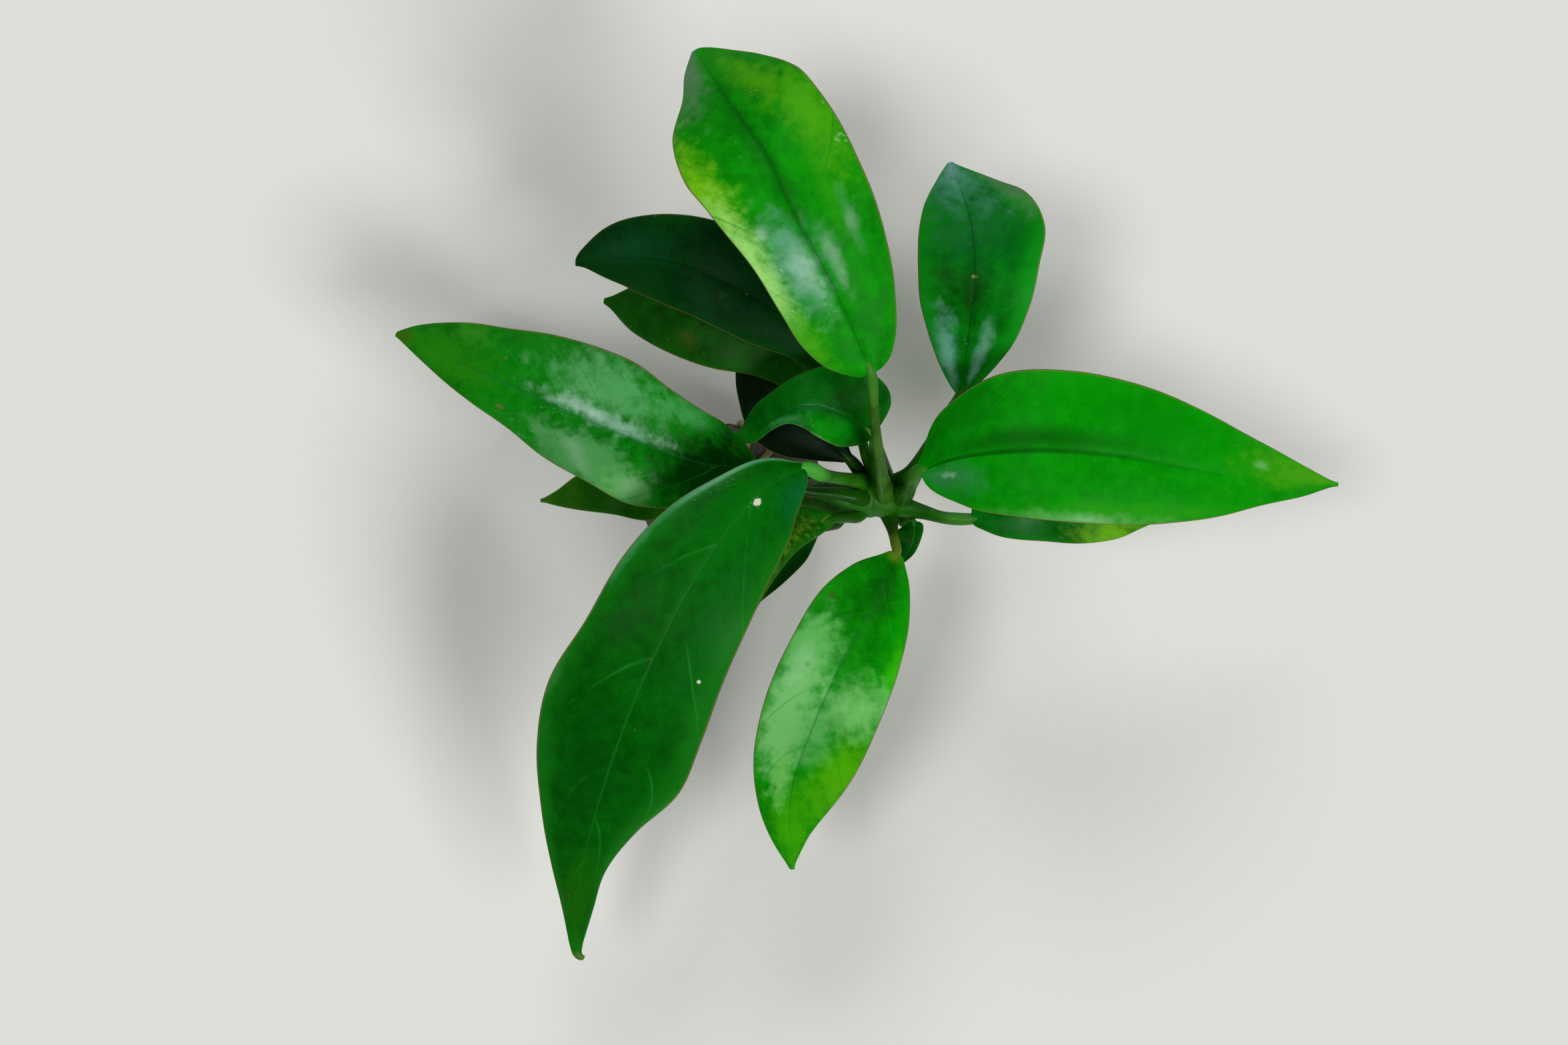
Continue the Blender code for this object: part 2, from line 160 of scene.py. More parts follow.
def rollGrid(rows, columns, place, mapPlace):
    shape = bmesh.new()  # a grid rolled into a closed skin: x runs along the piece, y runs round it
    surface = shape.loops.layers.uv.new("surface")
    bmesh.ops.create_grid(shape, x_segments=rows, y_segments=columns, size=1)
    for face in shape.faces:
        middle = (face.calc_center_median().y + 1) / 2
        for loop in face.loops:
            corner = loop.vert.co
            loop[surface].uv = mapPlace((corner.x + 1) / 2, (corner.y + 1) / 2, middle)
    for vertex in shape.verts:
        vertex.co = place((vertex.co.x + 1) / 2, (vertex.co.y + 1) / 2)
    bmesh.ops.remove_doubles(shape, verts=shape.verts, dist=1e-6)
    bmesh.ops.recalc_face_normals(shape, faces=shape.faces)
    return shape


def addObject(name, data):
    thing = bpy.data.objects.new(name, data)
    bpy.context.scene.collection.objects.link(thing)
    return thing


def addPiece(name, shape, material, node):
    mesh = bpy.data.meshes.new(name)
    shape.to_mesh(mesh)
    shape.free()
    mesh.shade_smooth()
    mesh.materials.append(material)
    piece = addObject(name, mesh)
    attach(piece, "root")
    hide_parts(node)


# Camera, light and floor.
camera = {"place": (9.3, -4.7, 745), "lens": 85.71, "sensor": 36}

cameraData = bpy.data.cameras.new("camera")
cameraData.lens = camera["lens"]
cameraData.sensor_width = camera["sensor"]
cameraData.clip_start = 0.01
bpy.context.scene.camera = addObject("camera", cameraData)
bpy.context.scene.camera.location = Vector(camera["place"]) * mm

softLights = {  # wide, far lights: spread is the angle in degrees that each one fills, for soft shadows
    "key": {"towards": (0.50, -0.40, 0.77), "spread": 25, "strength": 1.95},
    "overhead": {"towards": (-0.32, -0.06, 0.95), "spread": 17.5, "strength": 1.0},
    "upper": {"towards": (-0.08, 0.76, 0.64), "spread": 23, "strength": 1.1},
}
for name, wide in softLights.items():
    light = bpy.data.lights.new(name, "SUN")
    light.angle = math.radians(wide["spread"])
    light.energy = wide["strength"]
    addObject(name, light).rotation_euler = Vector(wide["towards"]).to_track_quat("Z", "Y").to_euler()

studio = {"colour": "#e9edf0", "strength": 0.11}
world = bpy.data.worlds.new("studio")
world.use_nodes = True
fillInputs(world.node_tree, world.node_tree.nodes["Background"],
           {"Color": toLinear(studio["colour"]), "Strength": studio["strength"]})
bpy.context.scene.world = world
bpy.context.scene.view_settings.view_transform = "Standard"

card = {"colour": "#d6d5d1", "halfWidth": 3000}
floorShape = bmesh.new()
bmesh.ops.create_grid(floorShape, x_segments=1, y_segments=1, size=card["halfWidth"] * mm)
floorMesh = bpy.data.meshes.new("floor")
floorShape.to_mesh(floorMesh)
floorShape.free()
floor = addObject("floor", floorMesh)
floorMaterial, floorTree, floorShader = newMaterial("matt pale card")  # no gloss, so only soft shadows show
fillInputs(floorTree, floorShader,
           {"Base Color": toLinear(card["colour"]), "Roughness": 0.95, "Specular IOR Level": 0.1})
floorMesh.materials.append(floorMaterial)
print("camera, lights and floor placed")


# Leaf material: a waxy cuticle over green tissue. Shares run from 0 to 1 along the blade, or rib to margin.
waxyLook = {
    "deep": "#013a02", "main": "#02660a", "bright": "#04841c", "brightShare": 0.6,
    "margin": "#1c7a10", "marginFrom": 0.7, "marginShare": 0.35,
    "rim": "#8a7a44", "rimFrom": 0.97, "rimShare": 0.5,
    "tip": "#1c7a10", "tipFrom": 0.8, "tipShare": 0.3,
    "rib": "#053c06", "ribWidth": 0.03, "ribShare": 0.5, "ribEnd": 1.15,
    "vein": "#1c7a1c", "veinShare": 0.35, "veins": 5, "streaks": 30.0,
    "under": "#5c8f3c", "speck": "#6a5a2c", "speckShare": 0.25, "speckSize": 0.35, "speckSpread": 7.0,
    "roughness": (0.37, 0.50), "specular": 0.035, "patches": [],
}
veinSweep, veinBend = 0.20, 1.35  # how far the side veins bend towards the tip, and how sharply
streakPart = 0.28  # how much of a patch's ragged outline follows the side veins


def patch(along, across, long, wide, colour, share, **more):
    # A blemish or tint, or a painted sheen, highlight or shade: centre and half size as shares of the blade,
    # colour, strength. soft is how wide the outline is, ragged how deep it frays, fray its grain in mm;
    # sparse breaks it up, gloss is clean cuticle.
    return {"at": (along, across), "size": (long, wide), "colour": colour, "share": share,
            "soft": 1.0, "ragged": 1.8, "fray": None, "sparse": 0.0, "gloss": 0.0, **more}


def dust(along, across, long, wide, colour, share, fray=0.6, sparse=1.4, soft=0.5):
    return patch(along, across, long, wide, colour, share, fray=fray, sparse=sparse, soft=soft, ragged=5.0)


def patchMask(tree, uv, place, softFray, spot):
    centre = (-spot["at"][0], -spot["at"][1], 0)
    shifted = addNode(tree, "Mapping", {}, {"Vector": uv, "Location": centre})
    scaled = addNode(tree, "VectorMath", {"operation": "DIVIDE"}, {0: shifted, 1: (*spot["size"], 1)})
    away = addNode(tree, "VectorMath", {"operation": "LENGTH"}, {0: scaled}, 1)
    fray = softFray
    if spot["fray"]:
        fray = addNode(tree, "TexNoise", {}, grains(place, spot["fray"], 6.0))
    outline = addNode(tree, "Math", timesPlus, {0: fray, 1: spot["ragged"], 2: away})
    edge = 0.5 * spot["ragged"] + 1.0 - spot["sparse"]
    return addNode(tree, "MapRange", smooth, span(outline, edge, edge - spot["soft"], spot["share"]))


def leafMaterial(name, look):
    material, tree, shader = newMaterial(name)
    place, uv, split = findPlaces(tree)
    across = split.node.outputs["Y"]
    underside = addNode(tree, "Math", above, {0: split, 1: 1.5})  # the map runs on from 2 under the blade
    along = addNode(tree, "Math", timesPlus, {0: underside, 1: -2.0, 2: split})
    reach = addNode(tree, "Math", {"operation": "ABSOLUTE"}, {0: across})

    # Chlorophyll varies in soft clouds some 14 mm wide, and less strongly in 3 mm ones.
    clouds = addNode(tree, "TexNoise", {}, grains(place, 14, 3.0))
    mottle = addNode(tree, "TexNoise", {}, grains(place, 3.0, 7.0, 0.65))
    drift = addNode(tree, "Math", timesPlus, {0: clouds, 1: 0.5, 2: -0.25})
    edgeReach = addNode(tree, "Math", plus, {0: reach, 1: drift})
    tipReach = addNode(tree, "Math", plus, {0: along, 1: drift})
    cloudMask = addNode(tree, "MapRange", smooth, span(clouds, 0.38, 0.62))
    mottleMask = addNode(tree, "MapRange", {}, span(mottle, 0.38, 0.66, look["brightShare"]))
    marginMask, tipMask, rimMask = [
        addNode(tree, "MapRange", smooth, span(value, look[part + "From"], end, look[part + "Share"]))
        for part, value, end in [("margin", edgeReach, 1.0), ("tip", tipReach, 1.0), ("rim", reach, 0.995)]]

    # Side veins leave the midrib every 5 to 7 mm and bend towards the tip; finer ones run between them.
    bend = addNode(tree, "Math", {"operation": "POWER"}, {0: reach, 1: veinBend})
    swept = addNode(tree, "Math", timesPlus, {0: bend, 1: -veinSweep, 2: along})
    side = addNode(tree, "Math", above, {0: across, 1: 0.0})
    stagger = addNode(tree, "Math", timesPlus, {0: side, 1: 0.45 / look["veins"], 2: swept})
    waver = addNode(tree, "Math", timesPlus, {0: drift, 1: 0.05, 2: stagger})
    course = addNode(tree, "Math", times, {0: waver, 1: float(look["veins"])})
    beat = addNode(tree, "Math", pingPong, {0: course, 1: 0.5})
    veinFade = addNode(tree, "MapRange", {}, span(clouds, 0.42, 0.6, look["veinShare"]))
    veinMask = addNode(tree, "MapRange", smooth, span(beat, 0.035, 0.0, veinFade))
    fineCourse = addNode(tree, "Math", times, {0: course, 1: 5.0})
    fineBeat = addNode(tree, "Math", pingPong, {0: fineCourse, 1: 0.5})
    fineMask = addNode(tree, "MapRange", {}, span(fineBeat, 0.2, 0.0, look["veinShare"] * 0.06))
    ribEnd, ribWidth = look["ribEnd"], look["ribWidth"]
    ribFade = addNode(tree, "MapRange", {}, span(along, ribEnd - 0.5, ribEnd, 0.0, look["ribShare"]))
    ribMask = addNode(tree, "MapRange", smooth, span(reach, ribWidth, ribWidth * 0.3, ribFade))

    # Small dead specks, each a fraction of a millimetre, scattered some 5 mm apart.
    cells = addNode(tree, "TexVoronoi", {}, {"Vector": place, "Scale": 1000 / look["speckSpread"]})
    speckReach = look["speckSize"] / look["speckSpread"]
    speckMask = addNode(tree, "MapRange", smooth, span(cells, speckReach, 0.03, look["speckShare"]))

    # Broad patches break up partly along the side veins, small ones in their own grain.
    blotches = addNode(tree, "TexNoise", {}, grains(place, 2.5, 7.0, 0.6))
    streakRun = addNode(tree, "Math", times, {0: swept, 1: look["streaks"]})
    streakPlace = addNode(tree, "CombineXYZ", {}, {"X": streakRun, "Y": across})
    streaks = addNode(tree, "TexNoise", {}, {"Vector": streakPlace, "Scale": 1.0, "Detail": 4.0})
    softFray = addNode(tree, "Math", times, {0: blotches, 1: 1 - streakPart})
    softFray = addNode(tree, "Math", timesPlus, {0: streaks, 1: streakPart, 2: softFray})
    # The patches are blemishes and tints, and also painted sheen, highlight and shade.
    patches, gloss = [], 0.0
    for spot in look["patches"]:
        mask = patchMask(tree, uv, place, softFray, spot)
        patches.append((mask, spot["colour"]))
        if spot["gloss"]:  # where the cuticle is clean it shines; elsewhere a thin film of algae dulls it
            shine = addNode(tree, "Math", times, {0: mask, 1: spot["gloss"] / spot["share"]})
            gloss = addNode(tree, "Math", {"operation": "MAXIMUM"}, {0: shine, 1: gloss})

    # The cuticle is faintly pebbled by 0.45 mm cells and drawn in along the veins.
    pebbles = addNode(tree, "TexNoise", {}, grains(place, 0.45, 2.0))
    relief = addNode(tree, "Math", timesPlus, {0: veinMask, 1: -1.2, 2: pebbles})
    relief = addNode(tree, "Math", timesPlus, {0: mottle, 1: 1.5, 2: relief})
    layers = [(cloudMask, look["main"]), (mottleMask, look["bright"]), (marginMask, look["margin"]),
              (tipMask, look["tip"]), *patches, (fineMask, look["vein"]), (veinMask, look["vein"]),
              (ribMask, look["rib"]), (speckMask, look["speck"]), (rimMask, look["rim"]),
              (underside, look["under"])]
    paint(tree, shader, look["deep"], layers, mottle, look["roughness"], (relief, 0.35, 0.12),
          {"Specular IOR Level": look["specular"], "Coat Weight": gloss, "Coat Roughness": 0.30,
           "Coat IOR": 1.45})
    return material


# sway is the slow unevenness of the blade, quilt the puffing between side veins, keel the rib below.
sheet = {"thickness": 0.5, "groove": 0.20, "grooveWidth": 0.7, "keel": 0.9, "keelWidth": 0.9,
         "sway": 0.7, "swayLength": 16, "fineSway": 0.4, "fineSwayLength": 8, "quilt": 0.08}
# What most blades share; wave is the height, number and phase of the crests along the margin.
bladeForm = {"fold": 0.1, "droop": 0.2, "roll": (0.0, 0.0), "wave": (0.3, 2, 0.0)}
bladeMesh = {"rowLength": 0.7, "columnWidth": 0.55, "lookAhead": 0.004}


def bladeColumns(share):
    # From the right margin over the top to the left one, then back underneath. Columns bunch at the midrib
    # and at the margins, where the section bends most.
    turn = 4 * share - 1 if share <= 0.5 else 3 - 4 * share
    size = abs(turn)
    return math.copysign(0.4 * size + 0.6 * (3 * size**2 - 2 * size**3), turn)


def bladePoint(leaf, veins, midrib, along, share):
    across = bladeColumns(share)
    reach = abs(across)
    angle = math.acos(1 - 2 * along)
    near = bladeMesh["lookAhead"]
    ahead = curveAt(midrib, min(along + near, 1)) - curveAt(midrib, max(along - near, 0))
    sideways = Vector((-ahead.y, ahead.x, 0)).normalized()
    widths = leaf["left"] if across > 0 else leaf["right"]
    width = smoothPoint([0.9] + widths + [0.3], angle / math.pi) * mm
    roll = between(leaf["roll"], along)
    height, crests, phase = leaf["wave"]
    ripple = height * mm * reach**2 * math.sin(math.pi * along)
    ripple *= math.sin(2 * math.pi * crests * along + phase + across)
    rise = width * (leaf["fold"] * reach - leaf["droop"] * reach**2 + roll * across) + ripple
    point = curveAt(midrib, along) + sideways * width * across + Vector((0, 0, rise))

    ends = math.sqrt(max(1 - (2 * along - 1) ** 16, 0))  # the section closes at the foot and the tip
    body = math.sqrt(max(1 - reach**6, 0)) * ends
    offRib = width * reach / mm
    wander = noise.noise(point * 1000 / sheet["swayLength"])
    wander += sheet["fineSway"] * noise.noise(point * 1000 / sheet["fineSwayLength"] + Vector((7, 3, 1)))
    sway = (wander * 0.5 - 0.5) * sheet["sway"] * min(1.0, 6 * min(along, 1 - along))
    quilt = -sheet["quilt"] * math.sin(math.pi * veins * (along - veinSweep * reach**veinBend)) ** 2
    quilt *= body * min(1.0, offRib / 2.0)
    inner = (1 - reach**4) * ends
    groove = sheet["groove"] * math.exp(-(offRib / sheet["grooveWidth"]) ** 2) * (1 - along**2) * inner
    keel = sheet["keel"] * math.exp(-(offRib / sheet["keelWidth"]) ** 2) * (1 - along) ** 0.7 * inner
    lift = sheet["thickness"] / 2 * body - groove if share <= 0.5 else -sheet["thickness"] / 2 * body - keel
    return point + Vector((0, 0, (lift + sway + quilt) * mm))


def growBlade(name, leaf, midrib):
    look = {**waxyLook, **leaf["look"]}
    rows = clamped(pathLength(midrib) / mm / bladeMesh["rowLength"], 24, 130)
    columns = 4 * clamped(max(leaf["left"] + leaf["right"]) / bladeMesh["columnWidth"], 8, 26)
    shape = rollGrid(rows, columns,
                     lambda share, around: bladePoint(leaf, look["veins"], midrib, ease(share), around),
                     lambda share, around, middle: (ease(share) + 2 * (middle > 0.5), bladeColumns(around)))
    material = leafMaterial("waxy leaf " + name.replace("_", " "), look)
    addPiece("blade_" + name, shape, material, "leaf_" + name)


def tubeShape(points, radius, rows, columns, bulge):
    even = evenPoints(points, 161)  # a round skin along the points, with rounded closed ends
    length = pathLength(even) / mm

    def place(step, around):
        share = ease(step)
        ahead = (curveAt(even, min(share + 0.01, 1)) - curveAt(even, max(share - 0.01, 0))).normalized()
        level = Vector((-ahead.y, ahead.x, 0))
        level = level.normalized() if level.length > 1e-4 else Vector((1, 0, 0))
        turn = 2 * math.pi * around
        size = radius(share * length, length)
        left = min(share, 1 - share) * length / size
        size *= math.sqrt(max(1 - (1 - min(left, 1)) ** 2, 0))
        size *= 1 + bulge(share * length, turn)
        outward = level * math.cos(turn) + ahead.cross(level) * math.sin(turn)
        return curveAt(even, share) + outward * size * mm

    shape = rollGrid(rows, columns, place, lambda step, around, middle: (ease(step) * length / 100, around))
    return shape, length


# Stalks are round; they sheathe the stem at their foot and swell into a joint under the blade.
stem = {
    "course": [(-16, 1.5, 25.6), (-7, 2.2, 26.6), (3, 1.2, 27.4), (13, 0.4, 28.6), (22, 0, 30.4),
               (31.5, -0.4, 32.6)],
    "radii": [2.6, 3.3, 3.5, 3.5, 3.9, 3.5],
    "scarSpacing": 4.6, "scarDepth": 0.06, "knobble": 0.06,
}
stemAxis = evenPoints(toPoints(stem["course"]), 61)
stalkShape = {"sheath": 3.0, "flare": 0.9, "flareLength": 4.5, "joint": 0.2, "jointLength": 3.0,
              "jointBack": 6.0, "keelRun": 3.4, "taper": 0.55, "taperLength": 3.6,
              "ridge": 0.05, "fineRidge": 0.03, "rowLength": 0.625}
stalkLook = {"main": "#205f08", "shade": "#123f05", "foot": "#1c6004", "joint": "#3c8426", "jointShare": 0.6,
             "streak": "#2f7410", "roughness": (0.26, 0.38)}


def stalkMaterial(name, look, length):
    material, tree, shader = newMaterial(name)
    place, uv, run = findPlaces(tree)  # a run of 1 is 100 mm
    # Strands 0.4 mm wide run the whole length of the stalk; the tissue between them varies every 6 mm.
    strandPlace = addNode(tree, "Mapping", {}, {"Vector": uv, "Scale": (14.0, 15.0, 1.0)})
    strands = addNode(tree, "TexNoise", {}, {"Vector": strandPlace, "Scale": 1.0, "Detail": 3.0})
    tissue = addNode(tree, "TexNoise", {}, grains(place, 6.0, 4.0))
    pores = addNode(tree, "TexNoise", {}, grains(place, 0.5, 2.0))
    upper = (length - stalkShape["jointBack"] - stalkShape["keelRun"]) / 100
    tissueMask = addNode(tree, "MapRange", smooth, span(tissue, 0.4, 0.66))
    strandMask = addNode(tree, "MapRange", {}, span(strands, 0.5, 0.75, 0.5))
    footMask = addNode(tree, "MapRange", smooth, span(run, 0.09, 0.03, 0.7))
    jointMask = addNode(tree, "MapRange", smooth, span(run, upper - 0.01, upper + 0.03, look["jointShare"]))
    relief = addNode(tree, "Math", timesPlus, {0: strands, 1: 2.0, 2: pores})
    layers = [(tissueMask, look["shade"]), (strandMask, look["streak"]), (footMask, look["foot"]),
              (jointMask, look["joint"])]
    paint(tree, shader, look["main"], layers, tissue, look["roughness"], (relief, 0.4, 0.15),
          {"Specular IOR Level": 0.12})
    return material


def growStalk(name, leaf, midrib):
    points = toPoints(leaf["stalk"])
    low, half, high = leaf["stalkRadii"]
    back = points[0] + (points[0] - points[1]).normalized() * stalkShape["sheath"] * mm
    axis = min(stemAxis, key=lambda spot: (spot - back).length)
    below = Vector((0, 0, -high * mm))
    under = curveAt(midrib, 0.0) + below
    keelRun = stalkShape["keelRun"] * mm / (midrib[-1] - midrib[0]).length
    keelEnd = curveAt(midrib, min(keelRun, 0.3)) + below * 1.1
    points = [back.lerp(axis, 0.7)] + points[:-1] + [points[-1].lerp(under, 0.6) + below * 0.3, keelEnd]

    def radius(at, length):
        size = smoothPoint([low, half, high], at / length)
        size *= 1 + stalkShape["flare"] * math.exp(-at / stalkShape["flareLength"])
        offJoint = length - at - stalkShape["jointBack"]
        size *= 1 + stalkShape["joint"] * math.exp(-(offJoint / stalkShape["jointLength"]) ** 2)
        return size * (1 - stalkShape["taper"] * max(1 - (length - at) / stalkShape["taperLength"], 0) ** 1.5)

    def ridges(at, turn):
        return (stalkShape["ridge"] * math.sin(turn * 2 + at / 9)
                + stalkShape["fineRidge"] * math.sin(turn * 3 - at / 5))

    rows = clamped((points[-1] - points[0]).length / mm / stalkShape["rowLength"], 24, 80)
    shape, length = tubeShape(points, radius, rows, 20, ridges)
    look = {**stalkLook, **leaf.get("stalkLook", {})}
    material = stalkMaterial("fleshy stalk " + name.replace("_", " "), look, length)
    addPiece("petiole_" + name, shape, material, "stalk_" + name)


def growLeaf(name, leaf):
    leaf = {**bladeForm, **leaf}
    midrib = evenPoints(toPoints(leaf["midrib"]), 121)
    growBlade(name, leaf, midrib)
    growStalk(name, leaf, midrib)


# The fifteen leaves: each blade's shape as in the CAD part, then its own colours and blemishes, and the
# painted sheen, highlights and shade marked in its patches.

topLeaf = {
    "midrib": [(25, 22, 76), (19, 35, 82), (12, 48, 86), (6, 60.5, 84), (-0.5, 70.5, 77), (-7, 81.5, 64)],
    "left": [3.7, 7.4, 9.7, 10.4, 11.0, 13.4, 14.8, 12.6, 7.0, 4.2, 1.6],
    "right": [4.1, 6.9, 9.4, 12.1, 14.1, 14.5, 14.4, 13.6, 9.8, 5.5, 2.4],
    "droop": 0.22, "roll": (0.1, -0.1), "wave": (0.7, 3, 0.4),
    "stalk": [(28.6, 0.9, 34.8), (27.8, 3.4, 44), (26.8, 8, 56), (25.6, 15, 68), (25, 21.3, 75.8)],
    "stalkRadii": (1.5, 1.0, 0.9),
    "look": {"deep": "#047004", "main": "#077e04", "bright": "#0c9a04", "margin": "#1f8a08", "rib": "#014a05",
        "ribWidth": 0.05, "vein": "#0f7c14", "veinShare": 0.5, "speck": "#8cc48c", "speckShare": 0.4,
        "speckSize": 0.3, "speckSpread": 5.0, "patches": [
        # Painted reflection: the pale grey-green patch where the tip bends away.
        patch(0.95, 0.75, 0.22, 0.9, "#567c5a", 0.95),
        patch(0.8, -0.5, 0.2, 0.42, "#4a9c08", 0.75),
        patch(0.62, -0.75, 0.24, 0.42, "#46a008", 0.9),
        patch(0.45, -0.5, 0.16, 0.2, "#2c9408", 0.7),
        patch(0.55, 0.97, 0.3, 0.5, "#6cb80e", 1.0),
        patch(0.34, 0.98, 0.28, 0.5, "#98d670", 1.0),
        patch(0.14, 0.9, 0.14, 0.5, "#3ea010", 0.9),
        # The next three patches, with gloss, are painted sheen over the lower middle of the blade.
        patch(0.31, 0.35, 0.18, 0.55, "#5a9c78", 0.9, gloss=0.7),
        patch(0.3, -0.2, 0.13, 0.18, "#3a8a4a", 0.7, gloss=0.5),
        patch(0.36, -0.62, 0.13, 0.13, "#2f8a3c", 0.7, gloss=0.4),
        patch(0.62, 0.02, 0.42, 0.2, "#025c04", 0.65),
        dust(0.62, 0.25, 0.1, 0.2, "#8cc090", 0.7, fray=0.5),
        dust(0.62, 0.9, 0.16, 0.16, "#9ccc8c", 0.7),
        patch(0.54, -0.9, 0.028, 0.12, "#8cca80", 0.7, soft=0.8, ragged=3.0, fray=0.8, sparse=0.5),
        dust(0.75, -0.35, 0.12, 0.2, "#9ccc8c", 0.6, fray=0.5),
    ]},
    "stalkLook": {"main": "#3c700c", "shade": "#2a5406", "foot": "#226006"},
}
growLeaf("top", topLeaf)

upperRightLeaf = {
    "midrib": [(42.5, 19.5, 46), (43.5, 30.5, 54), (44.5, 40, 58), (44, 49.5, 56), (42.5, 56.5, 51),
               (40.5, 63, 44)],
    "left": [1.8, 3.4, 5.4, 7.6, 9.9, 10.5, 10.1, 8.7, 6.2, 3.4, 1.3],
    "right": [2.1, 3.8, 6.3, 8.9, 10.3, 11.8, 13.6, 11.4, 6.1, 2.7, 0.8],
    "fold": 0.12, "roll": (0.0, 0.05), "wave": (0.4, 3, 1.0),
    "stalk": [(30.6, 2.9, 32.6), (33.5, 5.2, 37), (37, 10.5, 41.5), (40.5, 16, 44), (42.3, 18.8, 45.4)],
    "stalkRadii": (1.3, 1.0, 0.9),
    "look": {"deep": "#014602", "main": "#01640e", "bright": "#027c06", "margin": "#0c8c12",
        "marginFrom": 0.5, "marginShare": 0.7, "rib": "#013200", "vein": "#0f6a1c", "veins": 4,
        "streaks": 18.0, "patches": [
        patch(0.42, 0.0, 0.24, 0.45, "#013a00", 0.9),
        patch(0.62, 0.0, 0.2, 1.3, "#01561c", 0.7),
        # The next three patches are painted reflection: the pale bluish tip where the blade bends away.
        patch(0.95, 0.0, 0.34, 1.5, "#3a8060", 0.95),
        patch(1.0, 0.1, 0.16, 1.2, "#6a9a94", 0.8),
        patch(0.78, -0.95, 0.15, 0.5, "#537050", 0.7),
        # The next two patches, with gloss, are painted sheen on the rise from the foot.
        patch(0.16, 0.6, 0.24, 0.45, "#5a9a80", 0.95, soft=0.9, gloss=0.8),
        patch(0.17, -0.38, 0.2, 0.26, "#5a9678", 0.95, soft=0.9, gloss=0.8),
        patch(0.3, 0.95, 0.25, 0.35, "#128a1c", 0.7),
        patch(0.4, -0.95, 0.25, 0.35, "#128a1c", 0.7),
        patch(0.47, 0.02, 0.0098, 0.063, "#8a8a50", 0.7, soft=0.7),
        dust(0.2, 0.1, 0.2, 0.7, "#8ab8a0", 0.45, soft=0.6),
    ]},
    "stalkLook": {"main": "#18520a", "shade": "#0e3a05", "joint": "#2c6a14"},
}
growLeaf("upper_right", upperRightLeaf)

rightLeaf = {
    "midrib": [(34.5, 5, 52), (43, 7.5, 58), (56, 8.5, 62), (71, 7.5, 60), (92.5, 4, 52), (114, 2.5, 40)],
    "left": [3.3, 9.4, 14.3, 14.8, 13.3, 10.4, 6.7, 3.1, 0.8],
    "right": [5.3, 9.2, 11.8, 13.0, 12.3, 9.1, 5.1, 2.8, 0.8],
    "fold": 0.12, "roll": (-0.05, -0.05), "wave": (0.4, 3, 2.0),
    "stalk": [(31.8, 0.4, 34.2), (32.6, 1.2, 40), (33.2, 2.8, 46), (33.9, 4.4, 51)],
    "stalkRadii": (1.4, 1.2, 1.0),
    "look": {"deep": "#017c01", "main": "#018601", "bright": "#0a9608", "margin": "#12900a", "rib": "#014c02",
        "ribWidth": 0.05, "ribShare": 0.8, "ribEnd": 0.75, "vein": "#0f921a", "veinShare": 0.15, "veins": 6,
        "patches": [
        patch(0.12, 0.75, 0.2, 0.75, "#026502", 0.85),
        patch(0.26, 0.16, 0.42, 0.26, "#015401", 0.85, ragged=0.6),
        patch(0.5, 0.55, 0.3, 0.5, "#017e02", 0.7),
        # Painted sheen, with gloss: the pale patch at the foot of the blade.
        patch(0.06, -0.42, 0.13, 0.55, "#2c7c42", 0.9, gloss=0.5),
        patch(0.5, -0.85, 0.34, 0.26, "#2a9608", 0.6),
        # Painted sheen, with gloss, along the lower margin.
        patch(0.38, -0.97, 0.28, 0.17, "#4fa046", 0.95, gloss=0.4),
        patch(0.94, 0.4, 0.28, 1.3, "#429810", 0.9),
        patch(0.79, 0.36, 0.0264, 0.165, "#6ab060", 0.6, soft=0.9),
        patch(0.065, -0.32, 0.035, 0.1, "#8ab89a", 0.5, soft=0.8, ragged=2.0, fray=0.9),
        dust(0.75, -0.3, 0.35, 0.8, "#7cc070", 0.5, fray=0.5, sparse=1.7),
    ]},
}
growLeaf("right", rightLeaf)

rightLowerLeaf = {
    "midrib": [(45, -4, 37), (54, -2.5, 41), (64, -1.5, 42), (74, -2, 39), (83.5, -3, 34)],
    "left": [3.2, 5.3, 6.6, 6.6, 5.3, 3.0, 0.9],
    "right": [2.3, 4.6, 6.1, 7.2, 6.1, 3.1, 0.9],
    "stalk": [(32.6, -1.8, 31.6), (36, -2.7, 33), (40, -3.8, 35), (44.3, -4.1, 36.8)],
    "stalkRadii": (1.5, 1.0, 0.9),
    "look": {"deep": "#014604", "main": "#04620a", "bright": "#0c7412", "margin": "#1c8410", "rib": "#04460a",
        "vein": "#1c7c20", "veins": 4, "patches": [
        # Painted sheen, with gloss: a pale grey-green patch.
        patch(0.22, -0.5, 0.18, 0.6, "#1c6a28", 0.8, gloss=0.3),
        patch(0.68, -0.75, 0.28, 1.0, "#5ea412", 1.0),
    ]},
    "stalkLook": {"main": "#1c560a", "shade": "#0e4206"},
}
growLeaf("right_lower", rightLowerLeaf)

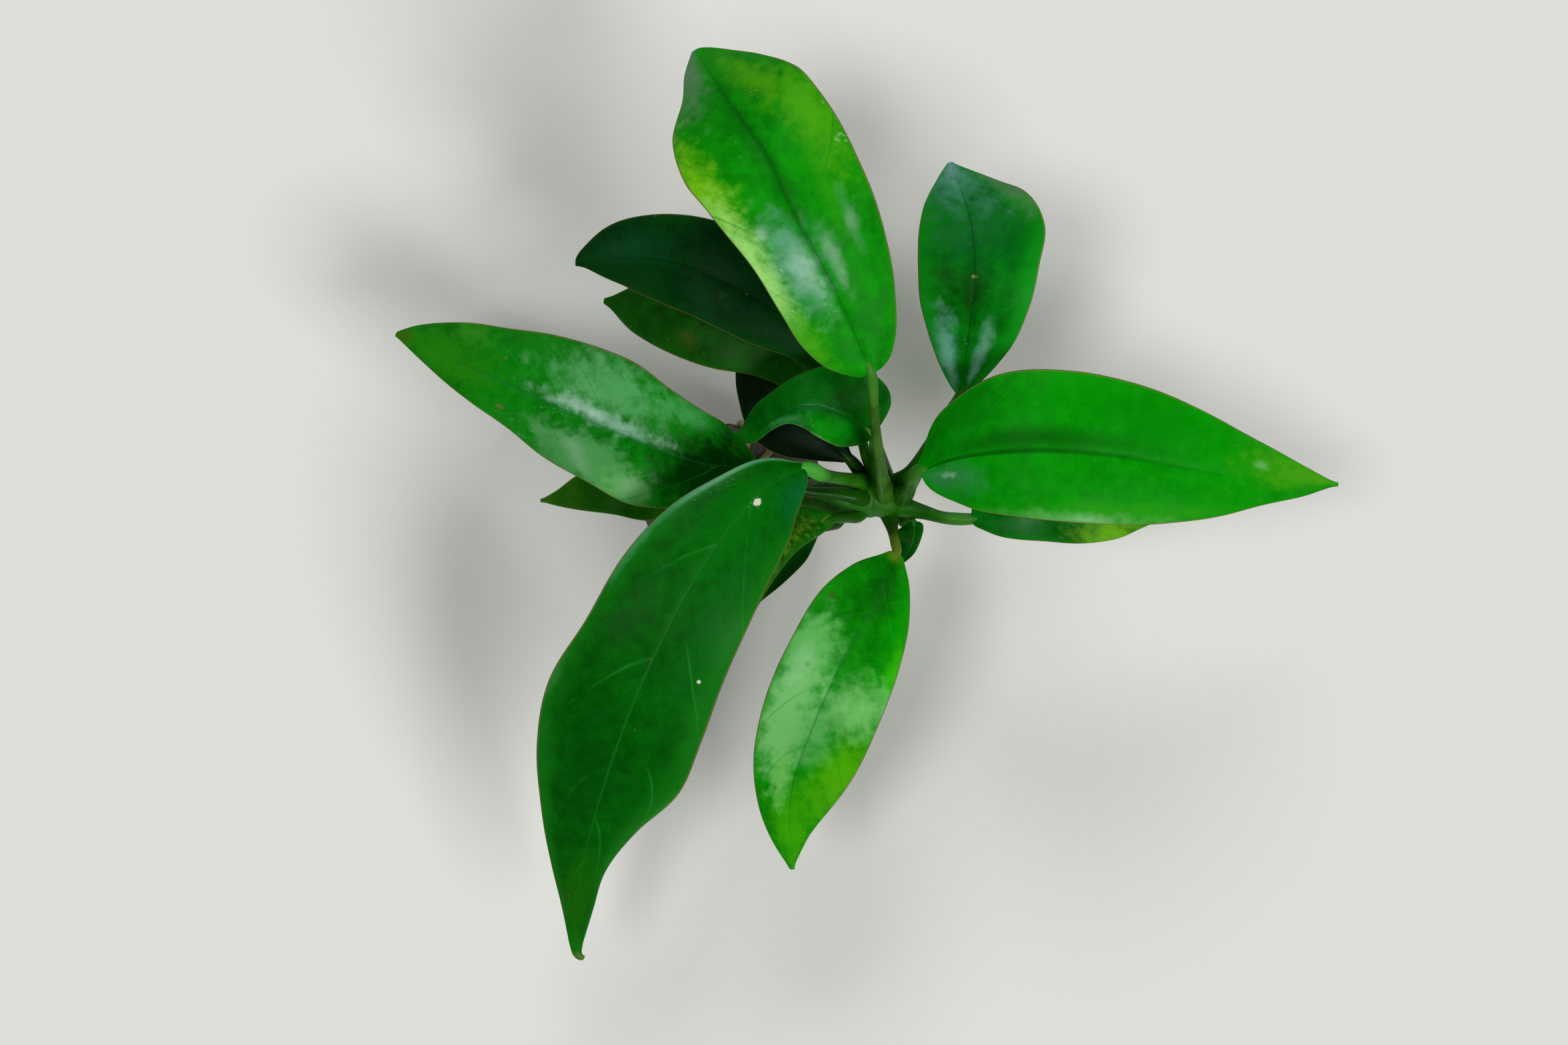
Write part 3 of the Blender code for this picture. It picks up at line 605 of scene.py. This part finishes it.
bottomLeaf = {
    "midrib": [(30.5, -10.5, 42), (27, -17.5, 47), (21, -29, 51), (15, -42, 49), (10.5, -56.5, 41),
               (11, -71, 32)],
    "left": [2.5, 5.5, 8.7, 10.6, 11.2, 10.4, 7.8, 3.2, 0.7],
    "right": [2.6, 6.6, 9.7, 10.5, 10.3, 8.8, 5.9, 3.4, 1.3],
    "fold": 0.16, "wave": (0.4, 2, 0.6),
    "stalk": [(29.5, -3.7, 31.5), (30, -6.2, 35), (30.4, -8.8, 39.4), (30.6, -10, 41.4)],
    "stalkRadii": (1.3, 0.8, 0.7),
    "look": {"deep": "#016a01", "main": "#018201", "bright": "#149404", "margin": "#128e06", "rib": "#0a6420",
        "vein": "#1c8c22", "veinShare": 0.45, "streaks": 24.0, "speckShare": 0.35, "speckSize": 0.3,
        "patches": [
        patch(0.12, 0.05, 0.2, 0.9, "#035401", 0.9),
        patch(0.87, 0.1, 0.27, 1.4, "#359b02", 1.0),
        patch(0.66, 0.8, 0.22, 0.8, "#49a604", 1.0),
        patch(0.31, 0.95, 0.12, 0.3, "#30ab03", 0.9),
        # The next five patches, with gloss, are painted sheen over one half of the blade and across the
        # midrib.
        patch(0.38, -0.62, 0.17, 0.72, "#52a54c", 1.0, soft=0.7, gloss=0.4),
        patch(0.55, -0.5, 0.24, 0.66, "#6ab262", 1.0, soft=0.7, gloss=0.5),
        patch(0.7, -0.32, 0.13, 0.36, "#63b14f", 0.95, gloss=0.4),
        patch(0.53, 0.05, 0.18, 0.6, "#58a656", 0.85, gloss=0.3),
        patch(0.44, 0.62, 0.12, 0.75, "#6ab55c", 0.95, gloss=0.3),
        patch(0.39, -0.54, 0.012, 0.08, "#2c7a18", 0.5, soft=0.7),
        patch(0.74, -0.44, 0.009, 0.06, "#3a7214", 0.8, soft=0.7),
        patch(0.72, 0.0, 0.009, 0.06, "#3a7a10", 0.8, soft=0.7),
        patch(0.2, -0.78, 0.0135, 0.09, "#3a5a14", 0.7, soft=0.7),
        patch(0.0, 0.0, 0.04, 1.2, "#5a7c14", 0.9, soft=0.7),
        dust(0.6, -0.3, 0.3, 0.6, "#3a6a18", 0.6, sparse=1.6),
    ]},
    "stalkLook": {"main": "#2c4a0a", "shade": "#16300a", "joint": "#6a8a20"},
}
growLeaf("bottom", bottomLeaf)

youngLeaf = {
    "midrib": [(34, -4.6, 33), (34.2, -6.5, 35), (33.5, -9.5, 35), (31.6, -12.5, 33)],
    "left": [1.3, 1.7, 1.5, 1.2, 1.0, 0.7, 0.4],
    "right": [1.8, 3.2, 3.9, 3.8, 3.1, 2.1, 0.8],
    "fold": 0.25, "droop": 0.1, "wave": (0.0, 1, 0.0),
    "stalk": [(32.2, -4.4, 28.8), (33.3, -4.8, 30.7), (33.8, -4.7, 32.3)],
    "stalkRadii": (0.8, 0.7, 0.6),
    # Its dark greens are partly its own colour and partly painted shade from the crown.
    "look": {"deep": "#043a04", "main": "#075206", "bright": "#0a6408", "margin": "#127412", "rib": "#1c6a20",
        "ribWidth": 0.1, "vein": "#0c5a0c", "veins": 3},
}
growLeaf("young", youngLeaf)

lowerLeftLeaf = {
    "midrib": [(13, 5.5, 54), (4.5, 0.5, 58), (-4.5, -11, 62), (-13, -26, 62), (-21, -44.5, 55),
               (-27.5, -64.5, 42), (-30.6, -81.5, 31), (-30.4, -87.2, 27.8), (-29.1, -88.5, 27)],
    "left": [3.6, 7.4, 10.0, 11.6, 12.9, 13.6, 14.3, 13.7, 8.2, 4.3, 3.1, 2.0, 0.7],
    "right": [2.1, 4.7, 7.4, 11.2, 13.5, 14.2, 16.2, 14.3, 10.3, 6.3, 3.2, 1.4, 1.0],
    "fold": 0.08, "droop": 0.26, "roll": (-0.05, -0.05), "wave": (0.5, 3, 1.2),
    "stalk": [(24.4, 2.9, 33.8), (22.4, 3.3, 39.5), (19, 3.7, 46), (16.4, 4.2, 50), (14.1, 5.2, 53)],
    "stalkRadii": (1.3, 1.1, 1.3),
    "look": {"deep": "#014502", "main": "#014e02", "bright": "#016402", "margin": "#147414",
        "marginFrom": 0.62, "marginShare": 0.6, "rib": "#0f6a18", "ribWidth": 0.022, "ribShare": 0.6,
        "vein": "#1c7c24", "veinShare": 0.5, "specular": 0.05, "patches": [
        patch(0.12, 0.1, 0.24, 1.1, "#016407", 0.8),
        # Painted sheen: the bluish-green band near the foot.
        patch(0.03, 0.62, 0.07, 0.6, "#045c2c", 0.7),
        patch(0.3, 0.55, 0.22, 0.4, "#015c0c", 0.6),
        patch(0.62, -0.35, 0.26, 0.5, "#014203", 0.6),
        # The next three patches, with gloss, are painted sheen along the margin near the foot.
        patch(0.05, -0.96, 0.24, 0.14, "#4a9468", 0.95, soft=0.9, ragged=0.4, gloss=0.4),
        patch(0.26, -0.97, 0.09, 0.11, "#3a8a4c", 0.7, gloss=0.3),
        patch(0.49, -0.97, 0.05, 0.09, "#2c7c34", 0.6, gloss=0.4),
        patch(0.66, 0.97, 0.08, 0.1, "#1c7a1c", 0.7),
        patch(0.88, 0.0, 0.14, 1.4, "#165c02", 0.8),
        patch(1.0, 0.0, 0.02, 2.0, "#4c6a28", 0.8, soft=0.6),
        patch(0.1, 0.1, 0.0085, 0.07, "#d2cdb8", 0.95, soft=0.4, ragged=1.4, fray=1.0),
        patch(0.403, 0.69, 0.004, 0.035, "#c4d4c8", 0.9, soft=0.5, ragged=0.4, fray=0.8),
        dust(0.105, 0.02, 0.05, 0.25, "#8ab8a0", 0.7, sparse=1.3),
        dust(0.12, -0.8, 0.25, 0.35, "#5c9a78", 0.5, soft=0.6),
    ]},
    "stalkLook": {"main": "#267006", "shade": "#1c5e02", "foot": "#206202", "joint": "#46a034",
        "jointShare": 0.95},
}
growLeaf("lower_left", lowerLeftLeaf)

leftLeaf = {
    "midrib": [(4.5, 5.5, 42), (-6.5, 6.5, 47), (-18, 10.5, 51), (-31, 16, 51), (-47.5, 23.5, 46),
               (-64.5, 31, 36)],
    "left": [1.6, 3.4, 6.4, 9.6, 11.6, 10.6, 9.7, 7.5, 6.1, 4.5, 2.8, 1.4, 0.5],
    "right": [2.0, 5.4, 8.4, 9.7, 11.2, 13.3, 13.2, 11.9, 9.6, 7.8, 5.6, 3.4, 1.4],
    "fold": 0.14, "droop": 0.22, "roll": (0.05, 0.05), "wave": (0.6, 3, 0.0),
    "stalk": [(22.6, 0.3, 35.3), (19, 0.8, 36.6), (14, 1.1, 38.2), (8.5, 3, 40.4), (5.3, 5.1, 41.7)],
    "stalkRadii": (1.2, 0.9, 0.9),
    "look": {"deep": "#015201", "main": "#026c01", "bright": "#108014", "margin": "#1a7a12", "rib": "#0c5c2a",
        "vein": "#1c7c24", "veinShare": 0.45, "speckShare": 0.4, "patches": [
        patch(0.86, 0.1, 0.24, 1.4, "#247a08", 0.85),
        patch(0.8, -0.75, 0.08, 0.45, "#31811b", 0.8),
        patch(0.98, 0.0, 0.05, 1.5, "#3a5a0c", 0.85),
        # Painted shade: the foot of the blade, which lies under the lower-left leaf, darkened.
        patch(0.1, 0.2, 0.22, 1.4, "#022f01", 0.95, soft=0.7),
        # The next five patches, with gloss, are painted sheen, the pale streak by the midrib a painted
        # highlight.
        patch(0.42, -0.55, 0.24, 0.62, "#479250", 1.0, ragged=2.4, gloss=0.4),
        patch(0.23, -0.78, 0.14, 0.3, "#3b8f45", 0.9, ragged=2.4, gloss=0.5),
        patch(0.42, 0.66, 0.2, 0.58, "#3c8440", 1.0, soft=0.6, ragged=2.2, gloss=0.35),
        patch(0.3, 0.84, 0.09, 0.45, "#4f974a", 1.0, soft=0.7, gloss=0.4),
        patch(0.42, -0.12, 0.22, 0.18, "#78a488", 0.9, ragged=2.2, gloss=0.55),
        patch(0.65, 0.64, 0.0125, 0.083, "#5e5c2c", 0.8, soft=0.7, ragged=1.2, fray=0.9),
        dust(0.5, 0.1, 0.3, 0.8, "#8ab8a0", 0.4, fray=0.5, sparse=1.5, soft=0.6),
    ]},
    "stalkLook": {"main": "#0f4406", "shade": "#0c3004", "foot": "#144c04", "joint": "#1c4c0a",
        "jointShare": 0.5},
}
growLeaf("left", leftLeaf)

leftLowerLeaf = {
    "midrib": [(-8, 1.5, 33), (-15.5, 1, 35), (-23, 0.5, 35.5), (-30.5, 0, 33), (-37.5, -0.5, 28)],
    "left": [2.2, 4.4, 5.2, 3.6, 2.5, 1.4, 0.5],
    "right": [2.6, 5.0, 6.4, 6.2, 4.5, 1.9, 0.6],
    "stalk": [(1, 2.2, 32), (-3.5, 2.2, 33.6), (-7.3, 1.7, 33.2)],
    "stalkRadii": (0.9, 0.8, 0.7),
    "look": {"deep": "#0c4402", "main": "#175402", "bright": "#226208", "margin": "#2a6c0a", "tip": "#3f7c14",
        "tipFrom": 0.6, "tipShare": 0.8, "rib": "#0f4604", "vein": "#22601a", "veins": 4},
}
growLeaf("left_lower", leftLowerLeaf)

upperLeftLeaf = {
    "midrib": [(20, 21, 50), (12.5, 30.5, 55), (2.5, 37.5, 58), (-8.5, 42.5, 57), (-18.5, 44.5, 51),
               (-30, 44, 42)],
    "left": [1.8, 4.3, 7.5, 8.3, 7.3, 4.2, 1.0],
    "right": [2.5, 5.6, 8.6, 9.9, 8.7, 6.6, 3.1],
    "wave": (0.3, 2, 0.5),
    "stalk": [(28.9, 3.9, 30.4), (27.6, 8, 36.5), (25.5, 13.5, 43), (22.8, 17.8, 47.6), (20.3, 20.7, 49.8)],
    "stalkRadii": (1.1, 0.9, 0.8),
    # Its very dark greens are partly its own colour and partly painted shade from the leaves above it.
    "look": {"deep": "#012606", "main": "#02330a", "bright": "#043c0c", "margin": "#08460c", "tip": "#042c06",
        "rib": "#011a02", "vein": "#043206", "speck": "#5a7a5c", "speckShare": 0.22, "specular": 0.04,
        "patches": [
        patch(0.8, -0.3, 0.22, 0.7, "#0e4420", 0.7),
        patch(0.84, -0.2, 0.0272, 0.2, "#1c3c20", 0.5, soft=0.9, ragged=1.4, fray=0.8),
        patch(0.46, 0.3, 0.0204, 0.15, "#1c4424", 0.5, soft=0.9, ragged=1.4, fray=0.8),
        dust(0.5, 0.1, 0.35, 0.7, "#3c6a44", 0.5, sparse=1.6, soft=0.6),
    ]},
}
growLeaf("upper_left", upperLeftLeaf)

upperLeftLowerLeaf = {
    "midrib": [(19.5, 15.5, 43), (11.5, 24.5, 46), (2.5, 30.5, 48), (-11, 35, 44), (-25, 37.5, 35)],
    "left": [1.6, 3.4, 5.9, 8.4, 7.8, 5.3, 1.5],
    "right": [2.0, 4.5, 7.3, 8.6, 7.6, 4.3, 1.3],
    "wave": (0.3, 2, 2.0),
    "stalk": [(26.5, 4.2, 30.3), (25, 7.6, 35.5), (23.6, 11.4, 39.8), (19.9, 15.2, 42.9)],
    "stalkRadii": (1.1, 0.9, 0.8),
    # Its very dark greens are partly its own colour and partly painted shade from the leaves above it.
    "look": {"deep": "#083902", "main": "#0c4d02", "bright": "#105804", "margin": "#125a08", "tip": "#0c3c04",
        "rib": "#083004", "vein": "#105a0c", "specular": 0.08, "patches": [
        patch(0.62, 0.55, 0.068, 0.285, "#3a4c08", 0.7),
    ]},
}
growLeaf("upper_left_lower", upperLeftLowerLeaf)

centreLeaf = {
    "midrib": [(26, 11.5, 52), (21, 15, 57), (14, 17, 59), (7.5, 15, 55), (0.5, 11.5, 48)],
    "left": [2.1, 4.0, 5.6, 6.0, 5.7, 4.6, 2.3, 2.2, 2.6, 2.6, 1.6],
    "right": [5.2, 7.2, 8.6, 9.1, 8.2, 5.6, 4.4, 3.6, 2.3, 1.1, 0.5],
    "fold": 0.2, "wave": (0.4, 3, 0.0),
    "stalk": [(27.2, 3.4, 33.4), (26.6, 6.2, 41), (26.2, 9.4, 48.5), (26.1, 11, 51.3)],
    "stalkRadii": (1.2, 0.9, 0.8),
    # Its dark greens are partly its own colour and partly painted shade.
    "look": {"deep": "#024102", "main": "#025a02", "bright": "#046a10", "margin": "#0c6a14", "rim": "#6a9a54",
        "rib": "#1c6c20", "ribShare": 0.4, "vein": "#0f6218", "veins": 4, "streaks": 16.0, "patches": [
        # Painted light: the bright lower lobe, where light falls on the wave.
        patch(0.36, 0.62, 0.42, 0.85, "#018402", 1.0),
        # The next two patches, with gloss, are painted sheen.
        patch(0.62, 0.6, 0.24, 0.45, "#2f8440", 0.8, gloss=0.7),
        patch(0.45, 0.1, 0.24, 0.26, "#0a6428", 0.7, gloss=0.5),
        # Painted shade at the foot of the blade.
        patch(0.06, 0.3, 0.12, 1.2, "#023a02", 0.8),
        # Painted highlight, with gloss, along the crest of the margin.
        patch(0.5, 1.0, 0.4, 0.1, "#5c9a50", 0.8, gloss=0.6),
    ]},
}
growLeaf("centre", centreLeaf)

centreUnderLeaf = {
    "midrib": [(21.5, 7.5, 38), (15.5, 12.5, 40), (9, 17, 41), (4, 22.5, 39), (0.5, 29, 34)],
    "left": [2.0, 4.5, 7.2, 8.0, 5.0, 2.4, 1.1],
    "right": [1.6, 4.0, 6.6, 7.4, 6.6, 4.6, 1.8],
    "wave": (0.2, 2, 0.0),
    "stalk": [(24, 4, 31), (23.2, 5.6, 34), (21.9, 7.1, 37.4)],
    "stalkRadii": (1.1, 0.9, 0.8),
    # Its near-black greens are painted shade over the leaf's own dark green.
    "look": {"deep": "#011002", "main": "#011402", "bright": "#021c04", "margin": "#042404", "tip": "#021804",
        "rib": "#011002", "vein": "#042404", "veins": 4, "specular": 0.06},
    "stalkLook": {"main": "#12360a", "shade": "#0a2606", "joint": "#16400c", "foot": "#1c420a"},
}
growLeaf("centre_under", centreUnderLeaf)

spottedLeaf = {
    "midrib": [(18.5, -4, 40), (11.5, -6, 44), (5, -12, 46), (-1.5, -21, 43), (-6.5, -30, 37)],
    "left": [1.8, 3.2, 3.6, 4.2, 4.7, 3.3, 0.9],
    "right": [1.8, 3.4, 4.6, 5.4, 5.4, 3.8, 1.4],
    "droop": 0.25,
    "stalk": [(23.4, -3.5, 33.2), (21.2, -3.7, 36.2), (18.9, -3.9, 39.4)],
    "stalkRadii": (1.0, 0.8, 0.7),
    "look": {"deep": "#064804", "main": "#0c5c05", "bright": "#1f720a", "brightShare": 0.7,
        "margin": "#1a6c0c", "marginShare": 0.4, "tip": "#146a0a", "rib": "#0c5c04", "vein": "#1c7a14",
        "veins": 4, "speck": "#3c2c10", "speckShare": 0.7, "speckSize": 0.5, "speckSpread": 2.6, "patches": [
        patch(0.45, 0.1, 0.5, 0.85, "#5c9016", 0.6, soft=0.8, ragged=3.0, fray=1.2),
        patch(0.6, -0.1, 0.45, 0.7, "#2c2c0c", 0.6, soft=0.35, ragged=4.6, fray=0.8),
    ]},
    "stalkLook": {"main": "#124404", "shade": "#0c3404", "joint": "#1c5608"},
}
growLeaf("spotted", spottedLeaf)

underSpottedLeaf = {
    "midrib": [(15, -6, 34), (9, -10.5, 37), (2, -18, 38), (-4, -25.5, 35), (-9.5, -33.5, 30)],
    "left": [2.3, 4.1, 4.2, 3.1, 3.2, 2.6, 0.7],
    "right": [1.8, 3.6, 5.2, 5.6, 5.2, 3.7, 1.0],
    "wave": (0.2, 2, 0.0),
    "stalk": [(19.6, -4.5, 28.6), (17.8, -5.2, 31.2), (15.5, -5.7, 33.6)],
    "stalkRadii": (1.0, 0.8, 0.7),
    "look": {"deep": "#084c06", "main": "#0a5a0a", "bright": "#0b6d0f", "margin": "#147414", "tip": "#0c5a08",
        "rib": "#064004", "vein": "#147418", "veins": 4},
    "stalkLook": {"main": "#124404", "shade": "#0c3404", "joint": "#1c5608"},
}
growLeaf("under_spotted", underSpottedLeaf)

print("leaves grown: 15")


# The creeping stem is a stout rhizome, ringed by the scars of old leaves.
stemLook = {"young": "#1f6404", "old": "#4a4a1c", "bark": "#2e2412", "scar": "#8a7a48",
            "roughness": (0.42, 0.65)}


def stemMaterial(look):
    # Rhizome skin: a smooth green rind that corks over to brown towards the old end.
    material, tree, shader = newMaterial("corky rhizome skin")
    place, uv, run = findPlaces(tree)
    cork = addNode(tree, "TexNoise", {}, grains(place, 2.5, 5.0))
    age = addNode(tree, "Math", timesPlus, {0: cork, 1: 0.3, 2: run})
    ageing = addNode(tree, "MapRange", smooth, span(age, 0.50, 0.26))
    bark = addNode(tree, "MapRange", smooth, span(cork, 0.46, 0.62, 0.75))
    ringPlace = addNode(tree, "Math", timesPlus, {0: cork, 1: 0.012, 2: run})
    ringCourse = addNode(tree, "Math", times, {0: ringPlace, 1: 100 / stem["scarSpacing"]})
    ringBeat = addNode(tree, "Math", pingPong, {0: ringCourse, 1: 0.5})
    ring = addNode(tree, "MapRange", smooth, span(ringBeat, 0.12, 0.02, 0.6))
    oldBark = addNode(tree, "Math", times, {0: bark, 1: ageing})
    oldRing = addNode(tree, "Math", times, {0: ring, 1: ageing})
    relief = addNode(tree, "Math", timesPlus, {0: oldRing, 1: -1.0, 2: cork})
    layers = [(ageing, look["old"]), (oldBark, look["bark"]), (oldRing, look["scar"])]
    paint(tree, shader, look["young"], layers, cork, look["roughness"], (relief, 0.6, 0.5),
          {"Specular IOR Level": 0.3})
    return material


def stemBulge(at, turn):
    scar = (at / stem["scarSpacing"] + 0.08 * math.sin(turn + at)) % 1.0
    ring = -stem["scarDepth"] * math.exp(-((scar - 0.5) / 0.09) ** 2)
    knob = noise.noise(Vector((at / 3.2, 1.6 * math.cos(turn), 1.6 * math.sin(turn))))
    return ring + stem["knobble"] * (knob - 0.6)


stemSkin, stemLength = tubeShape(
    toPoints(stem["course"]), lambda at, length: smoothPoint(stem["radii"], at / length), 130, 40, stemBulge)
addPiece("creeping_stem", stemSkin, stemMaterial(stemLook), "rhizome")
print("stem made,", round(stemLength), "mm long")


# The stone is a weathered cobble, level underneath. flats: bearing, elevation and distance from its middle.
stone = {
    "middleHeight": 11.0, "crispness": 11,
    "flats": [
        (170, 86, 12.35), (8, 10, 17.0), (52, 24, 16.2), (97, 4, 14.4), (148, 20, 17.0), (192, -6, 18.4),
        (238, 16, 16.2), (287, 8, 14.6), (328, 26, 16.4), (25, 50, 16.6), (120, 52, 15.0), (205, 46, 17.4),
        (300, 50, 15.2), (75, -30, 15.4), (250, -34, 15.8), (340, -28, 16.8), (160, -30, 17.2),
    ],
    "pitDepth": 0.55, "pitSize": 5.0, "crackDepth": 0.35, "crackSpacing": 9, "crackWidth": 0.05,
}
stoneLook = {"dark": "#3c3a36", "main": "#5d5a53", "pale": "#8a867a", "film": "#3f4a24", "rust": "#6a5236",
             "roughness": (0.70, 0.92)}


def heading(bearing, elevation):
    bearing, elevation = math.radians(bearing), math.radians(elevation)
    level = math.cos(elevation)
    return Vector((math.cos(bearing) * level, math.sin(bearing) * level, math.sin(elevation)))


flats = [(heading(bearing, elevation), distance) for bearing, elevation, distance in stone["flats"]]


def stoneReach(outward):
    crisp = stone["crispness"]
    total = sum((max(outward.dot(facing), 0.0) / distance) ** crisp for facing, distance in flats)
    x, y, z = outward
    bumps = 0.020 * math.sin(5.1 * x + 2.3 * y + 0.4) + 0.015 * math.sin(6.7 * y - 4.1 * z + 1.3)
    reach = total ** (-1 / crisp) * (1 + bumps)
    spot = outward * reach
    pits = noise.fractal(spot / stone["pitSize"], 1.0, 2.2, 5) * 0.5 + 0.5
    seam = abs(noise.noise(spot / stone["crackSpacing"] + Vector((4, 9, 2))))
    crack = 1 - min(seam / stone["crackWidth"], 1)
    return reach - stone["pitDepth"] * min(max(pits, 0), 1.4) - stone["crackDepth"] * crack


def stoneMaterial(look):
    # Dark basalt cobble: matt and finely crystalline, with pale grains, rusty stains and a film of algae.
    material, tree, shader = newMaterial("weathered basalt")
    place = addNode(tree, "TexCoord", {}, {}, 3)
    crystals = addNode(tree, "TexVoronoi", {}, {"Vector": place, "Scale": 1000 / 0.9})
    cloud = addNode(tree, "TexNoise", {}, grains(place, 7.0, 6.0))
    stain = addNode(tree, "TexNoise", {}, grains(place, 11.0, 5.0, 0.62))
    fine = addNode(tree, "TexNoise", {}, grains(place, 0.8, 5.0))
    cloudMask = addNode(tree, "MapRange", {}, span(cloud, 0.35, 0.65))
    fineMask = addNode(tree, "MapRange", {}, span(fine, 0.45, 0.7, 0.6))
    crystalMask = addNode(tree, "MapRange", smooth, span(crystals, 0.22, 0.08, 0.7))
    rust = addNode(tree, "MapRange", smooth, span(stain, 0.58, 0.7, 0.5))
    film = addNode(tree, "MapRange", smooth, span(stain, 0.48, 0.34, 0.7))
    relief = addNode(tree, "Math", timesPlus, {0: crystals, 1: 0.6, 2: fine})
    layers = [(cloudMask, look["main"]), (fineMask, look["dark"]), (crystalMask, look["pale"]),
              (rust, look["rust"]), (film, look["film"])]
    paint(tree, shader, look["dark"], layers, fine, look["roughness"], (relief, 0.8, 0.5),
          {"IOR": 1.5, "Specular IOR Level": 0.35})
    return material


cobble = bmesh.new()
bmesh.ops.create_icosphere(cobble, subdivisions=7, radius=1)
for vertex in cobble.verts:
    outward = vertex.co.normalized()
    vertex.co = outward * stoneReach(outward) * mm
    vertex.co.z += stone["middleHeight"] * mm
bmesh.ops.bisect_plane(cobble, geom=cobble.verts[:] + cobble.edges[:] + cobble.faces[:], plane_co=(0, 0, 0),
                       plane_no=(0, 0, 1), clear_inner=True)
bmesh.ops.contextual_create(cobble, geom=[edge for edge in cobble.edges if edge.is_boundary])
bmesh.ops.recalc_face_normals(cobble, faces=cobble.faces)
stoneSkin = BVHTree.FromBMesh(cobble)
addPiece("cobble", cobble, stoneMaterial(stoneLook), "stone")
print("stone made")


# Roots are wiry holdfasts that clasp the stone, each with a few thin side roots.
roots = {
    "1": {"start": (14, 4.5, 25.6), "bearing": (48, 62), "elevation": (58, -24), "radius": 0.75},
    "2": {"start": (4, 5.4, 24.6), "bearing": (84, 80), "elevation": (62, -30), "radius": 0.8},
    "3": {"start": (-6, 6.2, 24.0), "bearing": (128, 118), "elevation": (62, -26), "radius": 0.7},
    "4": {"start": (-16.4, 3.6, 22.4), "bearing": (166, 150), "elevation": (38, -28), "radius": 0.75},
    "5": {"start": (-16.2, -1.2, 22.2), "bearing": (186, 184), "elevation": (38, -22), "radius": 0.65},
    "6": {"start": (-5, -1.8, 24.2), "bearing": (232, 238), "elevation": (62, -30), "radius": 0.8},
    "7": {"start": (4, -2.8, 25.2), "bearing": (276, 266), "elevation": (60, -26), "radius": 0.7},
    "8": {"start": (13, -3.6, 26.4), "bearing": (312, 300), "elevation": (56, -28), "radius": 0.75},
    "9": {"start": (20.5, -0.4, 25.6), "bearing": (352, 346), "elevation": (24, -24), "radius": 0.7},
}
rootHabit = {"stops": 12, "sway": 5, "fineSway": 1.2, "press": 0.55, "taper": 0.6, "wrinkle": 0.10,
             "stemHeight": 28.5, "insideStem": 1.5}
sideRoots = {"count": 3, "firstStop": 3, "stops": 6, "radius": 0.3, "spread": 13, "drop": 20, "taper": 0.5}
rootLook = {"main": "#6e6238", "pale": "#a89a68", "dark": "#3c3218", "green": "#46601e",
            "roughness": (0.5, 0.75)}


def rootMaterial(look):
    # Old aquatic root: tough ochre bark, wrinkled across every millimetre, greener near the stem.
    material, tree, shader = newMaterial("wiry root bark")
    place, uv, run = findPlaces(tree)
    bark = addNode(tree, "TexNoise", {}, grains(place, 2.0, 5.0))
    wrinklePlace = addNode(tree, "Mapping", {}, {"Vector": uv, "Scale": (100.0, 2.0, 1.0)})
    wrinkles = addNode(tree, "TexNoise", {}, {"Vector": wrinklePlace, "Scale": 1.0, "Detail": 3.0})
    barkMask = addNode(tree, "MapRange", {}, span(bark, 0.4, 0.65))
    wrinkleMask = addNode(tree, "MapRange", {}, span(wrinkles, 0.5, 0.7, 0.7))
    greenMask = addNode(tree, "MapRange", smooth, span(run, 0.12, 0.0, 0.8))
    relief = addNode(tree, "Math", plus, {0: wrinkles, 1: bark})
    layers = [(barkMask, look["pale"]), (wrinkleMask, look["dark"]), (greenMask, look["green"])]
    paint(tree, shader, look["main"], layers, bark, look["roughness"], (relief, 0.7, 0.3),
          {"Specular IOR Level": 0.3})
    return material


def onStone(bearing, elevation, clear):
    middle = Vector((0, 0, stone["middleHeight"] * mm))
    outward = heading(bearing, elevation)
    hit, normal, _, _ = stoneSkin.ray_cast(middle + outward * 60 * mm, -outward)  # from well outside
    place = hit + normal * clear * mm
    place.z = max(place.z, clear * mm)
    return place


def rootSkin(root, number):
    def rough(at, turn):
        return rootHabit["wrinkle"] * noise.noise(Vector((at / 1.1, math.cos(turn), math.sin(turn) + number)))

    def slim(at, length):
        return root["radius"] * (1 - rootHabit["taper"] * (at / length) ** 2)

    def slimSide(at, length):
        return sideRoots["radius"] * (1 - sideRoots["taper"] * at / length)

    clear = root["radius"] * rootHabit["press"]
    start = Vector(root["start"]) * mm
    stemMiddle = Vector((start.x, stem["course"][3][1] * mm, rootHabit["stemHeight"] * mm))
    inside = start + (stemMiddle - start).normalized() * rootHabit["insideStem"] * mm
    course, spots = [inside, start], []
    for i in range(rootHabit["stops"]):
        part = i / (rootHabit["stops"] - 1)
        bearing = between(root["bearing"], part)
        bearing += rootHabit["sway"] * math.sin(math.pi * 2.2 * part + root["start"][0])
        bearing += rootHabit["fineSway"] * math.sin(9 * part + 2 * number)
        elevation = between(root["elevation"], part)
        spots.append((bearing, elevation))
        course.append(onStone(bearing, elevation, clear))
    skin, _ = tubeShape(course, slim, 90, 14, rough)

    sideClear = sideRoots["radius"] * rootHabit["press"]
    mesh = bpy.data.meshes.new("strand")
    for k in range(sideRoots["count"]):
        bearing, elevation = spots[sideRoots["firstStop"] + 2 * k]
        lean = (-1) ** (k + number)
        twig = []
        for i in range(sideRoots["stops"]):
            part = i / (sideRoots["stops"] - 1)
            aside = lean * sideRoots["spread"] * part ** 0.8 + 2 * math.sin(5 * part + k)
            twig.append(onStone(bearing + aside, elevation - sideRoots["drop"] * part, sideClear))
        branch, _ = tubeShape(twig, slimSide, 30, 8, rough)
        branch.to_mesh(mesh)
        branch.free()
        skin.from_mesh(mesh)
    bpy.data.meshes.remove(mesh)
    return skin


rootBark = rootMaterial(rootLook)
for number, (name, root) in enumerate(roots.items()):
    addPiece("holdfast_" + name, rootSkin(root, number), rootBark, "root_" + name)
print("roots made:", len(roots))


print("pieces made")
